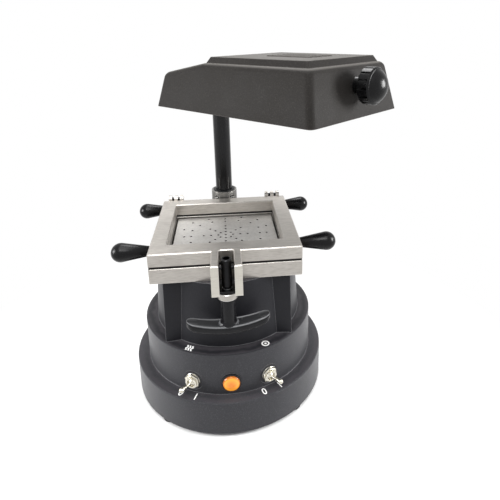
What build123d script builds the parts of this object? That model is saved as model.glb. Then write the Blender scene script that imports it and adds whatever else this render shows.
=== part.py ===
"""Dental vacuum former: base with vacuum motor, clamping frames on a post, swinging heater head.

Millimetres. Origin on the bench under the centre of the round base, +Z up, the controls towards -Y.
"""

import os
from math import acos, asin, atan2, cos, hypot, radians, sin, tan

from build123d import *

os.makedirs("parts", exist_ok=True)

# ---------------------------------------------------------------- fits and small clearances
running_fit = 0.05  # radial, shaft in its bore
seat_fit = 0.04  # radial, piece fixed in its hole
part_gap = 0.2  # between parts that face each other and move
screw_gap = 0.3  # radial, screw through a clearance hole

# ---------------------------------------------------------------- base casting
foot_h = 4.0
foot_r = 9.5
foot_inset = 10.5  # the feet's centres in from the base's edge
foot_angle = 42.0  # each foot, measured from the front or the rear
base_r = 102.5
ledge_z = 39.8  # top of the lower step
step_r = 90.0
step_z = 84.7  # top of the upper step
tower_z = 151.5
tower_foot_r = 77.5  # the tower's round bulge, at its foot
tower_top_r = 73.5  # and at its top
tower_foot_half = 62.8  # the tower's corners, at its foot
tower_top_half = 61.5  # and at its top
tower_dip = 7.5  # how far the flat sides lean in between the corners
base_wall = 4.0
roof_t = 8.0  # tower roof that carries the motor and the table
tower_bore_r = 68.5
ledge_fillet = 1.4
boss_r = 6.0

# ---------------------------------------------------------------- forming table and frames
table_w = 110.0
table_d = 103.0
table_y = 7.0  # centre of the table and of the forming window
table_top_z = 165.0
table_plate_t = 3.0
plenum_wall = 4.0
gasket_t = 0.5
table_hole_r = 1.3
window_gap = 2.0  # between the table and the frames' window
frame_side = 16.0  # width of the frames' bars
frame_front = 20.0
frame_rear = 16.5
frame_corner_r = 1.5
lower_frame_t = 15.5
upper_frame_t = 13.3
split_gap = 1.5  # filled by the two gaskets
split_inset = 1.5  # the gaskets stand back from the frames' edges
frame_edge = 0.8  # chamfer round the frames

# ---------------------------------------------------------------- latch at the front
lug_reach = 30.0
lug_half_w = 14.1
slot_half_w = 7.1
slot_round = 2.0
latch_out = 19.0  # the latch stands this far in front of the frames
barrel_r = 4.75
barrel_proud = 2.0  # the barrel's top above the upper frame
barrel_recess_r = 3.2
barrel_recess_h = 5.0
latch_pin_r = 2.0
keeper_t = 2.0
latch_screw_r = 3.0
latch_flange_r = 4.4
latch_flange_t = 1.0
washer_r = 9.3
washer_t = 6.4
tee_boss_r = 7.4
tee_boss_h = 27.0
tee_flare = 1.5  # the boss spreads into the wings
tee_half_span = 39.0
tee_half_depth = 8.5
tee_end_half_depth = 6.5
tee_t = 8.5
tee_lift = 5.0  # how far the ends of the tee curve up
tee_angle = 3.5  # as photographed, right end back

# ---------------------------------------------------------------- post, carriage and hinges
post_y = 94.0
post_r = 10.0
post_bore_r = 7.0
post_foot_z = 60.0
post_top_drop = 14.0  # below the head's top
pilaster_r = 12.5
collar_r = 15.5
collar_h = 36.8  # the carriage's collar above its underside
bush_r = 13.2
bush_proud = 0.8
beam_inset = 2.0  # the beam stands back from the frames' sides
beam_rear_y = 112.0
beam_round = 5.0
lift_travel = 85.0
key_w = 4.0
key_groove_depth = 1.6
hinge_inset = 14.3  # hinge centre in from the frames' sides
hinge_w = 17.5
ear_t = 4.0
ear_r = 4.6
hinge_back = 5.0  # hinge pin behind the frames
hinge_z = 181.8
hinge_pin_r = 2.2

# ---------------------------------------------------------------- grips
grip_l = 37.0
grip_root_r = 4.9
grip_ball_r = 9.4
grip_bore_depth = 16.0
stud_r = 3.0
stud_wall = 6.0  # frame left behind a stud's hole
front_grip_y = -44.0
rear_grip_y = 104.0

# ---------------------------------------------------------------- switches and lamp
control_z = 53.0
toggle_angle = 24.5  # each side of the lamp, about the base's axis
toggle_tilt = 17.0  # lever each side of straight out
toggle_bush_r = 5.8
toggle_bush_out = 5.0
toggle_bore_r = 4.2
toggle_pivot = 3.0  # pivot centre out from the wall
toggle_reach = 19.0
toggle_neck_r = 1.6
toggle_tip_r = 2.6
nut_across = 14.0
nut_t = 2.6
toggle_washer_r = 7.6
toggle_washer_t = 1.0
spot_r = 10.5  # flat spot-face on the round wall
spot_depth = 0.5
lamp_r = 8.3
lamp_bezel_r = 9.6
lamp_bezel_t = 1.6
lamp_out = 4.4

# ---------------------------------------------------------------- vacuum motor
turbine_r = 62.0
turbine_bottom_z = 98.0
turbine_wall = 2.0
intake_r = 22.0
motor_r = 38.0
motor_bottom_z = 42.0
shaft_r = 4.0
rotor_r = 24.0
fan_r = 56.0
fan_blades = 9
fan_blade_h = 12.0
bearing_r = 11.0
bearing_h = 7.0
clamp_bolt_pcr = 65.4
clamp_bolt_r = 2.4

# ---------------------------------------------------------------- heater head
head_l = 216.0
head_w = 148.0
head_rear = 24.9  # from the post's axis back to the head's rear rim
head_clear = 16.5  # between the raised carriage and the head's collar
head_h = 48.0
head_rear_drop = 12.0  # how much lower the roof is at the rear
head_slope_l = 70.0
head_draft = 12.0
head_corner_r = 7.0
head_wall = 2.5
head_edge = 5.0
head_swing = 42.4  # from over the table to the photographed place
deck_rise = 6.0
deck_inset = 4.5
deck_corner_r = 12.0
vent_bars = 5
vent_pitch = 8.0
heat_rail = 15.0  # from the head's side to the heater's window
heat_hub_gap = 8.0  # from the hub's flange to that window
plate_t = 2.0
plate_recess = 0.6
grille_t = 1.2
grille_slots = 11
grille_slot_w = 7.0
tray_h = 21.0
tray_wall = 1.2
tray_lip = 4.0
element_r = 3.25
element_runs = 5
element_pitch = 22.0
element_inset = 17.0  # the element's bends in from the heater's window
element_drop = 12.0  # element centre below the tray's roof
hub_r = 17.0
hub_h = 20.0
hub_flange_l = 40.0
hub_flange_w = 62.0
hub_flange_t = 5.0
hub_screw_x = 14.0
hub_screw_y = 24.0
thrust_r = 17.0
thrust_h = 10.0
head_boss_r = 4.5
knob_rise = 30.3  # above the head's rim
knob_neck_r = 8.0
knob_neck_l = 9.5
knob_r = 17.0
knob_l = 12.0
knob_dome = 8.5
knob_flutes = 14
knob_flute_r = 2.2

# ---------------------------------------------------------------- small fittings
pan_screw_r = 2.0
pan_head_r = 3.8
pan_screw_l = 14.0
foot_web = 1.0
pan_slots = 24
pan_slot_pcr = 62.0
pan_slot_l = 26.0
pan_slot_w = 4.0
motor_wall = 3.0
rotor_z = 56.0
rotor_h = 28.0
rotor_gap = 0.6
commutator_r = 10.0
commutator_h = 5.0
turbine_ports = 6
turbine_port_w = 24.0
turbine_port_h = 8.0
turbine_gasket_t = 3.5
clamp_ring_t = 3.0
clamp_head_r = 2.9
clamp_head_h = 3.0
fan_disc_t = 1.6
fan_hub_r = 10.0
fan_hub_h = 16.0
terminal_inset = 40.5  # from the base's edge
terminal_l = 40.0
terminal_w = 16.0
terminal_h = 14.0
toggle_body_w = 13.0
toggle_body_h = 22.0
toggle_body_l = 20.0
toggle_body_back = 4.6
toggle_ball_back = 2.0
lamp_body_l = 22.0
gland_angle = 150.0  # from the front; the fuse sits on the other side
gland_r = 8.0
gland_bore_r = 3.75
gland_nose_r = 7.0
gland_taper = 8.0
gland_out = 12.0
gland_flange_r = 10.0
gland_flange_t = 3.0
gland_depth = 8.0
fuse_r = 6.5
fuse_flange_r = 8.5
fuse_l = 26.0
fuse_slot_w = 1.6
table_corner_r = 2.0
inner_hole_radii = [8.0, 16.0, 24.0]
square_hole_radii = [37.5, 45.0]  # on the table's two centre lines
corner_hole_radii = [41.0, 53.0]  # towards its corners
between_hole_radii = [40.0, 50.0]
hole_angle = 22.5  # between neighbouring rows
table_screw_in_x = 11.0  # in from the table's sides
table_screw_in_y = 15.5
table_boss_r = 7.4
table_head_r = 3.0
table_head_h = 3.0
post_screw_r = 2.5
post_screw_z = 110.0
collar_relief = 2.5
tongue_half_w = 2.0
tongue_drop = 9.0
head_boss_inset = 14.0  # from the head's rim
deck_edge = 1.5
deck_taper = 25.0
vent_bar_l = 56.0
vent_bar_w = 3.6
vent_bar_h = 1.2
plate_play = 0.3
plate_screw_r = 1.8
plate_head_r = 3.2
plate_screw_l = 10.0
grille_lip = 4.0
grille_rib_w = 1.6
hub_screw_r = 2.0
hub_head_r = 3.6
screw_head_h = 1.8
stud_back = 13.0
knob_cap_r = 15.5

# ---------------------------------------------------------------- worked out from the above
lower_frame_z = tower_z + part_gap
split_z = lower_frame_z + lower_frame_t
upper_frame_z = split_z + split_gap
frame_top_z = upper_frame_z + upper_frame_t
window_w = table_w + 2 * window_gap
window_d = table_d + 2 * window_gap
frame_w = window_w + 2 * frame_side
frame_front_y = table_y - window_d / 2 - frame_front
frame_rear_y = table_y + window_d / 2 + frame_rear
frame_mid_y = (frame_front_y + frame_rear_y) / 2
latch_y = frame_front_y - latch_out
hinge_y = frame_rear_y + hinge_back
table_screw_x = table_w / 2 - table_screw_in_x
table_screw_y = table_d / 2 - table_screw_in_y
foot_pcr = base_r - foot_inset
ledge_round = min(ledge_fillet, 0.8 * (base_r - step_r))
collar_top_z = lower_frame_z + collar_h
beam_half_w = frame_w / 2 - beam_inset
hinge_x = frame_w / 2 - hinge_inset
stud_depth = frame_side - stud_wall
head_rim_z = collar_top_z + lift_travel + head_clear + thrust_h
head_top_z = head_rim_z + head_h
head_rear_z = head_top_z - head_rear_drop
post_top_z = head_top_z - post_top_drop
knob_z = head_rim_z + knob_rise
frame_d = frame_rear_y - frame_front_y
gasket_half_t = split_gap / 2
lug_front_y = frame_front_y - lug_reach
lug_split_z = split_z + gasket_half_t
barrel_top_z = frame_top_z + barrel_proud
keeper_z = lower_frame_z + part_gap
barrel_bottom_z = keeper_z + keeper_t + latch_flange_t + 3 * part_gap
latch_pin_z = (lug_split_z + frame_top_z) / 2
washer_z = lower_frame_z - part_gap - washer_t
latch_line = Plane((0, latch_y, 0))
lower_mid_z = lower_frame_z + lower_frame_t / 2
upper_mid_z = upper_frame_z + upper_frame_t / 2
roof_z = tower_z - roof_t
turbine_top_z = roof_z - turbine_gasket_t
plenum_z = tower_z + gasket_t
plate_z = table_top_z - table_plate_t
feet_angles = [foot_angle, 180 - foot_angle, 180 + foot_angle, 360 - foot_angle]
head_dir = radians(head_swing - 90)
head_along = (cos(head_dir), sin(head_dir), 0)
head_plane = Plane((0, post_y, 0), x_dir=head_along, z_dir=(0, 0, 1))
head_side = Plane((0, post_y, 0), x_dir=head_along, z_dir=(sin(head_dir), -cos(head_dir), 0))
head_mid = head_l / 2 - head_rear
head_front = head_l - head_rear
heat_mid = post_y - table_y  # the heater's window comes to stand over the table
heat_l = 2 * (heat_mid - hub_flange_l / 2 - heat_hub_gap)
heat_w = head_w - 2 * heat_rail
element_half_l = heat_w / 2 - element_inset
draft_run = tan(radians(head_draft))
plate_z0 = head_rim_z + plate_recess
hub_z = plate_z0 + plate_t


def radial_plane(angle, radius, height):
    """A plane on the base's round wall, its normal pointing out; angle 0 is the front."""
    a = radians(angle)
    out = (sin(a), -cos(a), 0)
    return Plane((radius * sin(a), -radius * cos(a), height), x_dir=(cos(a), sin(a), 0), z_dir=out)


def foot_spots():
    """The four feet, their screws and bosses."""
    return [Location((foot_pcr * sin(radians(a)), -foot_pcr * cos(radians(a)))) for a in feet_angles]


left_switch = radial_plane(-toggle_angle, step_r - spot_depth, control_z)
right_switch = radial_plane(toggle_angle, step_r - spot_depth, control_z)
lamp_spot = radial_plane(0, step_r - spot_depth, control_z)
gland_spot = radial_plane(gland_angle, base_r - spot_depth, ledge_z / 2)
fuse_spot = radial_plane(-gland_angle, base_r - spot_depth, ledge_z / 2)


# ================================================================ BASE

clamp_spots = PolarLocations(clamp_bolt_pcr, 3, start_angle=30).locations
table_screw_spots = [
    Location((side * table_screw_x, table_y + end * table_screw_y)) for side in (-1, 1) for end in (-1, 1)
]
toggle_hole_r = toggle_bush_r + part_gap
lamp_hole_r = lamp_r - 0.6
lamp_body_r = lamp_hole_r - part_gap


def tower_outline(half):
    """Square whose sides lean in a little from the corners to their middles."""
    dip = half - tower_dip
    Polygon(
        (half, half), (0, dip), (-half, half), (-dip, 0),
        (-half, -half), (0, -dip), (half, -half), (dip, 0),
        align=None,
    )


with BuildPart() as base_shell:
    with BuildSketch(Plane.XY.offset(foot_h)):
        Circle(base_r)
    extrude(amount=ledge_z - foot_h)
    with BuildSketch(Plane.XY.offset(ledge_z)):
        Circle(step_r)
    extrude(amount=step_z - ledge_z)
    rims = base_shell.edges().filter_by(GeomType.CIRCLE)
    ledge_rims = [e for e in rims if abs(e.center().Z - ledge_z) < 0.01 and e.radius > step_r + 0.01]
    step_rims = [e for e in rims if abs(e.center().Z - step_z) < 0.01]
    fillet(ledge_rims + step_rims, ledge_round)
    with BuildSketch(Plane.XY.offset(step_z - ledge_round)):
        tower_outline(tower_foot_half)
    with BuildSketch(Plane.XY.offset(tower_z)):
        tower_outline(tower_top_half)
    loft()
    with BuildSketch(Plane.XY.offset(step_z - ledge_round)):
        Circle(tower_foot_r)
    with BuildSketch(Plane.XY.offset(tower_z)):
        Circle(tower_top_r)
    loft()
    # the hollow for the motor and the wiring
    with BuildSketch(Plane.XY.offset(foot_h)):
        Circle(base_r - base_wall)
    extrude(amount=ledge_z - base_wall - foot_h, mode=Mode.SUBTRACT)
    with BuildSketch(Plane.XY.offset(foot_h)):
        Circle(step_r - base_wall)
    extrude(amount=step_z - base_wall - foot_h, mode=Mode.SUBTRACT)
    with BuildSketch(Plane.XY.offset(foot_h)):
        Circle(tower_bore_r)
    extrude(amount=roof_z - foot_h, mode=Mode.SUBTRACT)
    # the post's socket stands behind the tower
    with BuildSketch(Plane.XY.offset(foot_h + plate_t)):
        with Locations((0, post_y)):
            Circle(pilaster_r)
        with Locations((0, (tower_bore_r + post_y) / 2)):
            Rectangle(2 * pilaster_r, post_y - tower_bore_r)
    extrude(amount=tower_z - foot_h - plate_t)
    with BuildSketch(Plane.XY.offset(post_foot_z)):
        with Locations((0, post_y)):
            Circle(post_r + seat_fit)
    extrude(amount=tower_z - post_foot_z, mode=Mode.SUBTRACT)
    with BuildSketch(Plane.XZ.offset(-(post_y + pilaster_r))):
        with Locations((0, post_screw_z)):
            Circle(post_screw_r + seat_fit)
    extrude(amount=pilaster_r, mode=Mode.SUBTRACT)
    # bosses for the pan
    with BuildSketch(Plane.XY.offset(foot_h + plate_t)):
        with Locations(foot_spots()):
            Circle(boss_r)
    extrude(amount=ledge_z - foot_h - plate_t - base_wall / 2)
    with BuildSketch(Plane.XY.offset(foot_h + plate_t)):
        with Locations(foot_spots()):
            Circle(pan_screw_r + seat_fit)
    extrude(amount=pan_screw_l, mode=Mode.SUBTRACT)
    # intake, clamp bolts and the table's screws through the roof
    with BuildSketch(Plane.XY.offset(roof_z)):
        Circle(intake_r)
    extrude(amount=roof_t, mode=Mode.SUBTRACT)
    with BuildSketch(Plane.XY.offset(roof_z)):
        with Locations(clamp_spots):
            Circle(clamp_bolt_r + seat_fit)
        with Locations(table_screw_spots):
            Circle(table_head_r + screw_gap)
    extrude(amount=roof_t / 2, mode=Mode.SUBTRACT)
    with BuildSketch(Plane.XY.offset(roof_z)):
        with Locations(table_screw_spots):
            Circle(pan_screw_r + screw_gap)
    extrude(amount=roof_t, mode=Mode.SUBTRACT)
    # flat spots and holes for the controls
    for spot in (left_switch, right_switch, lamp_spot):
        with BuildSketch(spot):
            Circle(spot_r)
        extrude(amount=spot_r, mode=Mode.SUBTRACT)
    for spot in (left_switch, right_switch):
        with BuildSketch(spot):
            Circle(toggle_hole_r)
        extrude(amount=-2 * base_wall, mode=Mode.SUBTRACT)
    with BuildSketch(lamp_spot):
        Circle(lamp_hole_r)
    extrude(amount=-2 * base_wall, mode=Mode.SUBTRACT)
    for spot, hole_r in ((gland_spot, gland_r), (fuse_spot, fuse_r)):
        with BuildSketch(spot):
            Circle(gland_flange_r + screw_gap)
        extrude(amount=spot_r, mode=Mode.SUBTRACT)
        with BuildSketch(spot):
            Circle(hole_r + seat_fit)
        extrude(amount=-2 * base_wall, mode=Mode.SUBTRACT)
base_shell.part.label = "base_shell"
export_step(base_shell.part, "parts/base_shell.step")

with BuildPart() as base_pan:
    with BuildSketch(Plane.XY.offset(foot_h)):
        Circle(base_r - base_wall - part_gap)
        with Locations(foot_spots()):
            Circle(pan_screw_r + screw_gap, mode=Mode.SUBTRACT)
        with PolarLocations(pan_slot_pcr, pan_slots):
            SlotOverall(pan_slot_l, pan_slot_w, mode=Mode.SUBTRACT)
    extrude(amount=plate_t)
base_pan.part.label = "base_pan"
export_step(base_pan.part, "parts/base_pan.step")

with BuildPart() as rubber_feet:
    with BuildSketch(Plane.XY):
        with Locations(foot_spots()):
            Circle(foot_r)
            Circle(pan_head_r + screw_gap, mode=Mode.SUBTRACT)
    extrude(amount=foot_h - foot_web)
    with BuildSketch(Plane.XY.offset(foot_h - foot_web)):
        with Locations(foot_spots()):
            Circle(foot_r)
            Circle(pan_screw_r + screw_gap, mode=Mode.SUBTRACT)
    extrude(amount=foot_web)
    foot_rims = rubber_feet.edges().filter_by(GeomType.CIRCLE).group_by(SortBy.RADIUS)[-1]
    chamfer(foot_rims.group_by(Axis.Z)[0], foot_web / 2)
rubber_feet.part.label = "rubber_feet"
export_step(rubber_feet.part, "parts/rubber_feet.step")

with BuildPart() as pan_screws:
    with BuildSketch(Plane.XY.offset(foot_web)):
        with Locations(foot_spots()):
            Circle(pan_head_r)
    extrude(amount=foot_h - 2 * foot_web)
    with BuildSketch(Plane.XY.offset(foot_h - foot_web)):
        with Locations(foot_spots()):
            Circle(pan_screw_r)
    extrude(amount=pan_screw_l)
pan_screws.part.label = "pan_screws"
export_step(pan_screws.part, "parts/pan_screws.step")


# ================================================================ VACUUM MOTOR

seat_r = bearing_r + seat_fit
hub_wall_r = seat_r + motor_wall
with BuildPart() as motor_can:
    with BuildSketch(Plane.XZ):
        Polygon(
            (seat_r, motor_bottom_z),
            (motor_r, motor_bottom_z),
            (motor_r, turbine_bottom_z),
            (seat_r, turbine_bottom_z),
            (seat_r, turbine_bottom_z - bearing_h),
            (hub_wall_r, turbine_bottom_z - bearing_h),
            (hub_wall_r, turbine_bottom_z - motor_wall),
            (motor_r - motor_wall, turbine_bottom_z - motor_wall),
            (motor_r - motor_wall, motor_bottom_z + motor_wall),
            (hub_wall_r, motor_bottom_z + motor_wall),
            (hub_wall_r, motor_bottom_z + bearing_h),
            (seat_r, motor_bottom_z + bearing_h),
            align=None,
        )
    revolve(axis=Axis.Z)
motor_can.part.label = "motor_can"
export_step(motor_can.part, "parts/motor_can.step")

with BuildPart() as motor_bearings:
    for low in (motor_bottom_z, turbine_bottom_z - bearing_h):
        with BuildSketch(Plane.XY.offset(low)):
            Circle(bearing_r)
            Circle(shaft_r + running_fit, mode=Mode.SUBTRACT)
        extrude(amount=bearing_h)
motor_bearings.part.label = "motor_bearings"
export_step(motor_bearings.part, "parts/motor_bearings.step")

with BuildPart() as motor_stator:
    with BuildSketch(Plane.XY.offset(rotor_z)):
        Circle(motor_r - motor_wall - seat_fit)
        Circle(rotor_r + rotor_gap, mode=Mode.SUBTRACT)
    extrude(amount=rotor_h)
motor_stator.part.label = "motor_stator"
export_step(motor_stator.part, "parts/motor_stator.step")

turbine_inner_r = turbine_r - turbine_wall
with BuildPart() as turbine_housing:
    with BuildSketch(Plane.XZ):
        Polygon(
            (bearing_r, turbine_bottom_z),
            (turbine_r, turbine_bottom_z),
            (turbine_r, turbine_top_z),
            (intake_r, turbine_top_z),
            (intake_r, turbine_top_z - turbine_wall),
            (turbine_inner_r, turbine_top_z - turbine_wall),
            (turbine_inner_r, turbine_bottom_z + turbine_wall),
            (bearing_r, turbine_bottom_z + turbine_wall),
            align=None,
        )
    revolve(axis=Axis.Z)
    with BuildSketch(Plane.XY.offset(turbine_bottom_z + 2 * turbine_wall)):
        with PolarLocations(turbine_r - turbine_wall / 2, turbine_ports):
            Rectangle(3 * turbine_wall, turbine_port_w)
    extrude(amount=turbine_port_h, mode=Mode.SUBTRACT)
turbine_housing.part.label = "turbine_housing"
export_step(turbine_housing.part, "parts/turbine_housing.step")

with BuildPart() as turbine_gasket:
    with BuildSketch(Plane.XY.offset(turbine_top_z)):
        Circle(turbine_r - turbine_wall)
        Circle(intake_r + turbine_wall, mode=Mode.SUBTRACT)
    extrude(amount=turbine_gasket_t)
turbine_gasket.part.label = "turbine_gasket"
export_step(turbine_gasket.part, "parts/turbine_gasket.step")

with BuildPart() as clamp_ring:
    with BuildSketch(Plane.XY.offset(turbine_bottom_z - clamp_ring_t)):
        Circle(tower_bore_r - 3 * part_gap)
        Circle(motor_r + clamp_ring_t, mode=Mode.SUBTRACT)
        with Locations(clamp_spots):
            Circle(clamp_bolt_r + screw_gap, mode=Mode.SUBTRACT)
    extrude(amount=clamp_ring_t)
clamp_ring.part.label = "clamp_ring"
export_step(clamp_ring.part, "parts/clamp_ring.step")

with BuildPart() as clamp_bolts:
    with BuildSketch(Plane.XY.offset(turbine_bottom_z - clamp_ring_t - clamp_head_h)):
        with Locations(clamp_spots):
            Circle(clamp_head_r)
    extrude(amount=clamp_head_h)
    with BuildSketch(Plane.XY.offset(turbine_bottom_z - clamp_ring_t)):
        with Locations(clamp_spots):
            Circle(clamp_bolt_r)
    extrude(amount=roof_z + roof_t / 2 - turbine_bottom_z + clamp_ring_t)
clamp_bolts.part.label = "clamp_bolts"
export_step(clamp_bolts.part, "parts/clamp_bolts.step")

fan_z = turbine_bottom_z + 4 * turbine_wall
with BuildPart() as motor_shaft:
    with BuildSketch(Plane.XZ):
        Polygon(
            (0, motor_bottom_z - bearing_h),
            (shaft_r, motor_bottom_z - bearing_h),
            (shaft_r, rotor_z - commutator_h),
            (commutator_r, rotor_z - commutator_h),
            (commutator_r, rotor_z),
            (rotor_r, rotor_z),
            (rotor_r, rotor_z + rotor_h),
            (shaft_r, rotor_z + rotor_h),
            (shaft_r, fan_z + fan_hub_h),
            (0, fan_z + fan_hub_h),
            align=None,
        )
    revolve(axis=Axis.Z)
motor_shaft.part.label = "motor_shaft"
export_step(motor_shaft.part, "parts/motor_shaft.step")

with BuildPart() as suction_fan:
    with BuildSketch(Plane.XY.offset(fan_z)):
        Circle(fan_r)
    extrude(amount=fan_disc_t)
    with BuildSketch(Plane.XY.offset(fan_z)):
        Circle(fan_hub_r)
        with PolarLocations((fan_hub_r + fan_r) / 2 - 1, fan_blades):
            Rectangle(fan_r - fan_hub_r, fan_disc_t)
    extrude(amount=fan_blade_h)
    with BuildSketch(Plane.XY.offset(fan_z)):
        Circle(shaft_r + seat_fit)
    extrude(amount=fan_blade_h, mode=Mode.SUBTRACT)
suction_fan.part.label = "suction_fan"
export_step(suction_fan.part, "parts/suction_fan.step")

with BuildPart() as terminal_block:
    with BuildSketch(Plane.XY.offset(foot_h + plate_t)):
        with Locations((0, terminal_inset - base_r)):
            Rectangle(terminal_l, terminal_w)
    extrude(amount=terminal_h)
    with BuildSketch(Plane.XY.offset(foot_h + plate_t + terminal_h / 2)):
        with Locations((0, terminal_inset - base_r)):
            with GridLocations(terminal_l / 4, terminal_w / 2, 4, 2):
                Circle(terminal_w / 8)
    extrude(amount=terminal_h / 2, mode=Mode.SUBTRACT)
terminal_block.part.label = "terminal_block"
export_step(terminal_block.part, "parts/terminal_block.step")


# ================================================================ SWITCHES, LAMP, CORD INLET

with BuildPart() as toggle_bodies:
    for spot in (left_switch, right_switch):
        with BuildSketch(spot.offset(-toggle_body_back)):
            Rectangle(toggle_body_w, toggle_body_h)
        extrude(amount=-toggle_body_l)
        with BuildSketch(spot.offset(-toggle_body_back)):
            Circle(toggle_bush_r)
        extrude(amount=toggle_body_back + toggle_bush_out)
        with BuildSketch(spot.offset(-toggle_ball_back)):
            Circle(toggle_bore_r)
        extrude(amount=toggle_ball_back + toggle_bush_out, mode=Mode.SUBTRACT)
toggle_bodies.part.label = "toggle_bodies"
export_step(toggle_bodies.part, "parts/toggle_bodies.step")

with BuildPart() as toggle_nuts:
    for spot in (left_switch, right_switch):
        with BuildSketch(spot):
            Circle(toggle_washer_r)
            Circle(toggle_bush_r + seat_fit, mode=Mode.SUBTRACT)
        extrude(amount=toggle_washer_t)
        with BuildSketch(spot.offset(toggle_washer_t)):
            RegularPolygon(nut_across / 2, 6, major_radius=False)
            Circle(toggle_bush_r + seat_fit, mode=Mode.SUBTRACT)
        extrude(amount=nut_t)
toggle_nuts.part.label = "toggle_nuts"
export_step(toggle_nuts.part, "parts/toggle_nuts.step")


def lever_spot(angle, tilt):
    """Where a lever pivots and which way it points; tilt is positive to the right."""
    a = radians(angle)
    r = step_r - spot_depth + toggle_pivot
    along = radians(angle + tilt)
    return Plane(
        (r * sin(a), -r * cos(a), control_z),
        x_dir=(cos(along), sin(along), 0),
        z_dir=(sin(along), -cos(along), 0),
    ).location


# one bat lever on its pivot ball, used for both switches
with BuildPart() as bat_lever:
    with BuildSketch():
        Circle(toggle_neck_r)
    with BuildSketch(Plane.XY.offset(toggle_reach - toggle_pivot - toggle_tip_r)):
        Circle(toggle_tip_r)
    loft()
    Sphere(toggle_bore_r - running_fit)
    with Locations((0, 0, toggle_reach - toggle_pivot - toggle_tip_r)):
        Sphere(toggle_tip_r)

with BuildPart() as toggle_lever_left:
    with Locations(lever_spot(-toggle_angle, -toggle_tilt)):
        add(bat_lever.part)
toggle_lever_left.part.label = "toggle_lever_left"
export_step(toggle_lever_left.part, "parts/toggle_lever_left.step")

with BuildPart() as toggle_lever_right:
    with Locations(lever_spot(toggle_angle, toggle_tilt)):
        add(bat_lever.part)
toggle_lever_right.part.label = "toggle_lever_right"
export_step(toggle_lever_right.part, "parts/toggle_lever_right.step")

with BuildPart() as lamp_body:
    with BuildSketch(lamp_spot):
        Circle(lamp_body_r)
    extrude(amount=-lamp_body_l)
lamp_body.part.label = "lamp_body"
export_step(lamp_body.part, "parts/lamp_body.step")

with BuildPart() as lamp_bezel:
    with BuildSketch(lamp_spot):
        Circle(lamp_bezel_r)
        Circle(lamp_r + seat_fit, mode=Mode.SUBTRACT)
    extrude(amount=lamp_bezel_t)
lamp_bezel.part.label = "lamp_bezel"
export_step(lamp_bezel.part, "parts/lamp_bezel.step")

with BuildPart() as lamp_lens:
    with BuildSketch(lamp_spot):
        Circle(lamp_r)
    extrude(amount=lamp_out)
    fillet(lamp_lens.faces().sort_by(Axis.Y)[0].edges(), lamp_out / 2)
lamp_lens.part.label = "lamp_lens"
export_step(lamp_lens.part, "parts/lamp_lens.step")

with BuildPart() as cable_gland:
    with BuildSketch(gland_spot):
        Circle(gland_flange_r)
    extrude(amount=gland_flange_t)
    with BuildSketch(gland_spot.offset(-gland_depth)):
        Circle(gland_r)
    extrude(amount=gland_depth)
    with BuildSketch(gland_spot.offset(gland_flange_t)):
        Circle(gland_nose_r)
    extrude(amount=gland_out - gland_flange_t, taper=gland_taper)
    with BuildSketch(gland_spot.offset(-gland_depth)):
        Circle(gland_bore_r)
    extrude(amount=gland_depth + gland_out, mode=Mode.SUBTRACT)
cable_gland.part.label = "cable_gland"
export_step(cable_gland.part, "parts/cable_gland.step")

with BuildPart() as fuse_holder:
    with BuildSketch(fuse_spot):
        Circle(fuse_flange_r)
    extrude(amount=gland_flange_t)
    with BuildSketch(fuse_spot):
        Circle(fuse_r)
    extrude(amount=-fuse_l)
    with BuildSketch(fuse_spot.offset(gland_flange_t)):
        Rectangle(fuse_flange_r, fuse_slot_w)
    extrude(amount=-fuse_slot_w, mode=Mode.SUBTRACT)
fuse_holder.part.label = "fuse_holder"
export_step(fuse_holder.part, "parts/fuse_holder.step")


# ================================================================ FORMING TABLE

def table_outline():
    with Locations((0, table_y)):
        RectangleRounded(table_w, table_d, table_corner_r)


with BuildPart() as plenum_gasket:
    with BuildSketch(Plane.XY.offset(tower_z)):
        table_outline()
        with Locations((0, table_y)):
            Rectangle(table_w - 2 * plenum_wall, table_d - 2 * plenum_wall, mode=Mode.SUBTRACT)
    extrude(amount=gasket_t)
plenum_gasket.part.label = "plenum_gasket"
export_step(plenum_gasket.part, "parts/plenum_gasket.step")

with BuildPart() as table_plenum:
    with BuildSketch(Plane.XY.offset(plenum_z)):
        table_outline()
        with Locations((0, table_y)):
            Rectangle(table_w - 2 * plenum_wall, table_d - 2 * plenum_wall, mode=Mode.SUBTRACT)
        with Locations(table_screw_spots):
            Circle(table_boss_r)
    extrude(amount=plate_z - plenum_z)
    with BuildSketch(Plane.XY.offset(plenum_z)):
        with Locations(table_screw_spots):
            Circle(pan_screw_r + seat_fit)
    extrude(amount=plate_z - plenum_z, mode=Mode.SUBTRACT)
table_plenum.part.label = "table_plenum"
export_step(table_plenum.part, "parts/table_plenum.step")

with BuildPart() as vacuum_table:
    with BuildSketch(Plane.XY.offset(plate_z)):
        table_outline()
        with Locations((0, table_y)):
            Circle(table_hole_r, mode=Mode.SUBTRACT)
            for r in inner_hole_radii:
                with PolarLocations(r, 8):
                    Circle(table_hole_r, mode=Mode.SUBTRACT)
            for r in between_hole_radii:
                with PolarLocations(r, 8, start_angle=hole_angle):
                    Circle(table_hole_r, mode=Mode.SUBTRACT)
            for r in square_hole_radii:
                with PolarLocations(r, 4):
                    Circle(table_hole_r, mode=Mode.SUBTRACT)
            for r in corner_hole_radii:
                with PolarLocations(r, 4, start_angle=2 * hole_angle):
                    Circle(table_hole_r, mode=Mode.SUBTRACT)
    extrude(amount=table_plate_t)
vacuum_table.part.label = "vacuum_table"
export_step(vacuum_table.part, "parts/vacuum_table.step")

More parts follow.
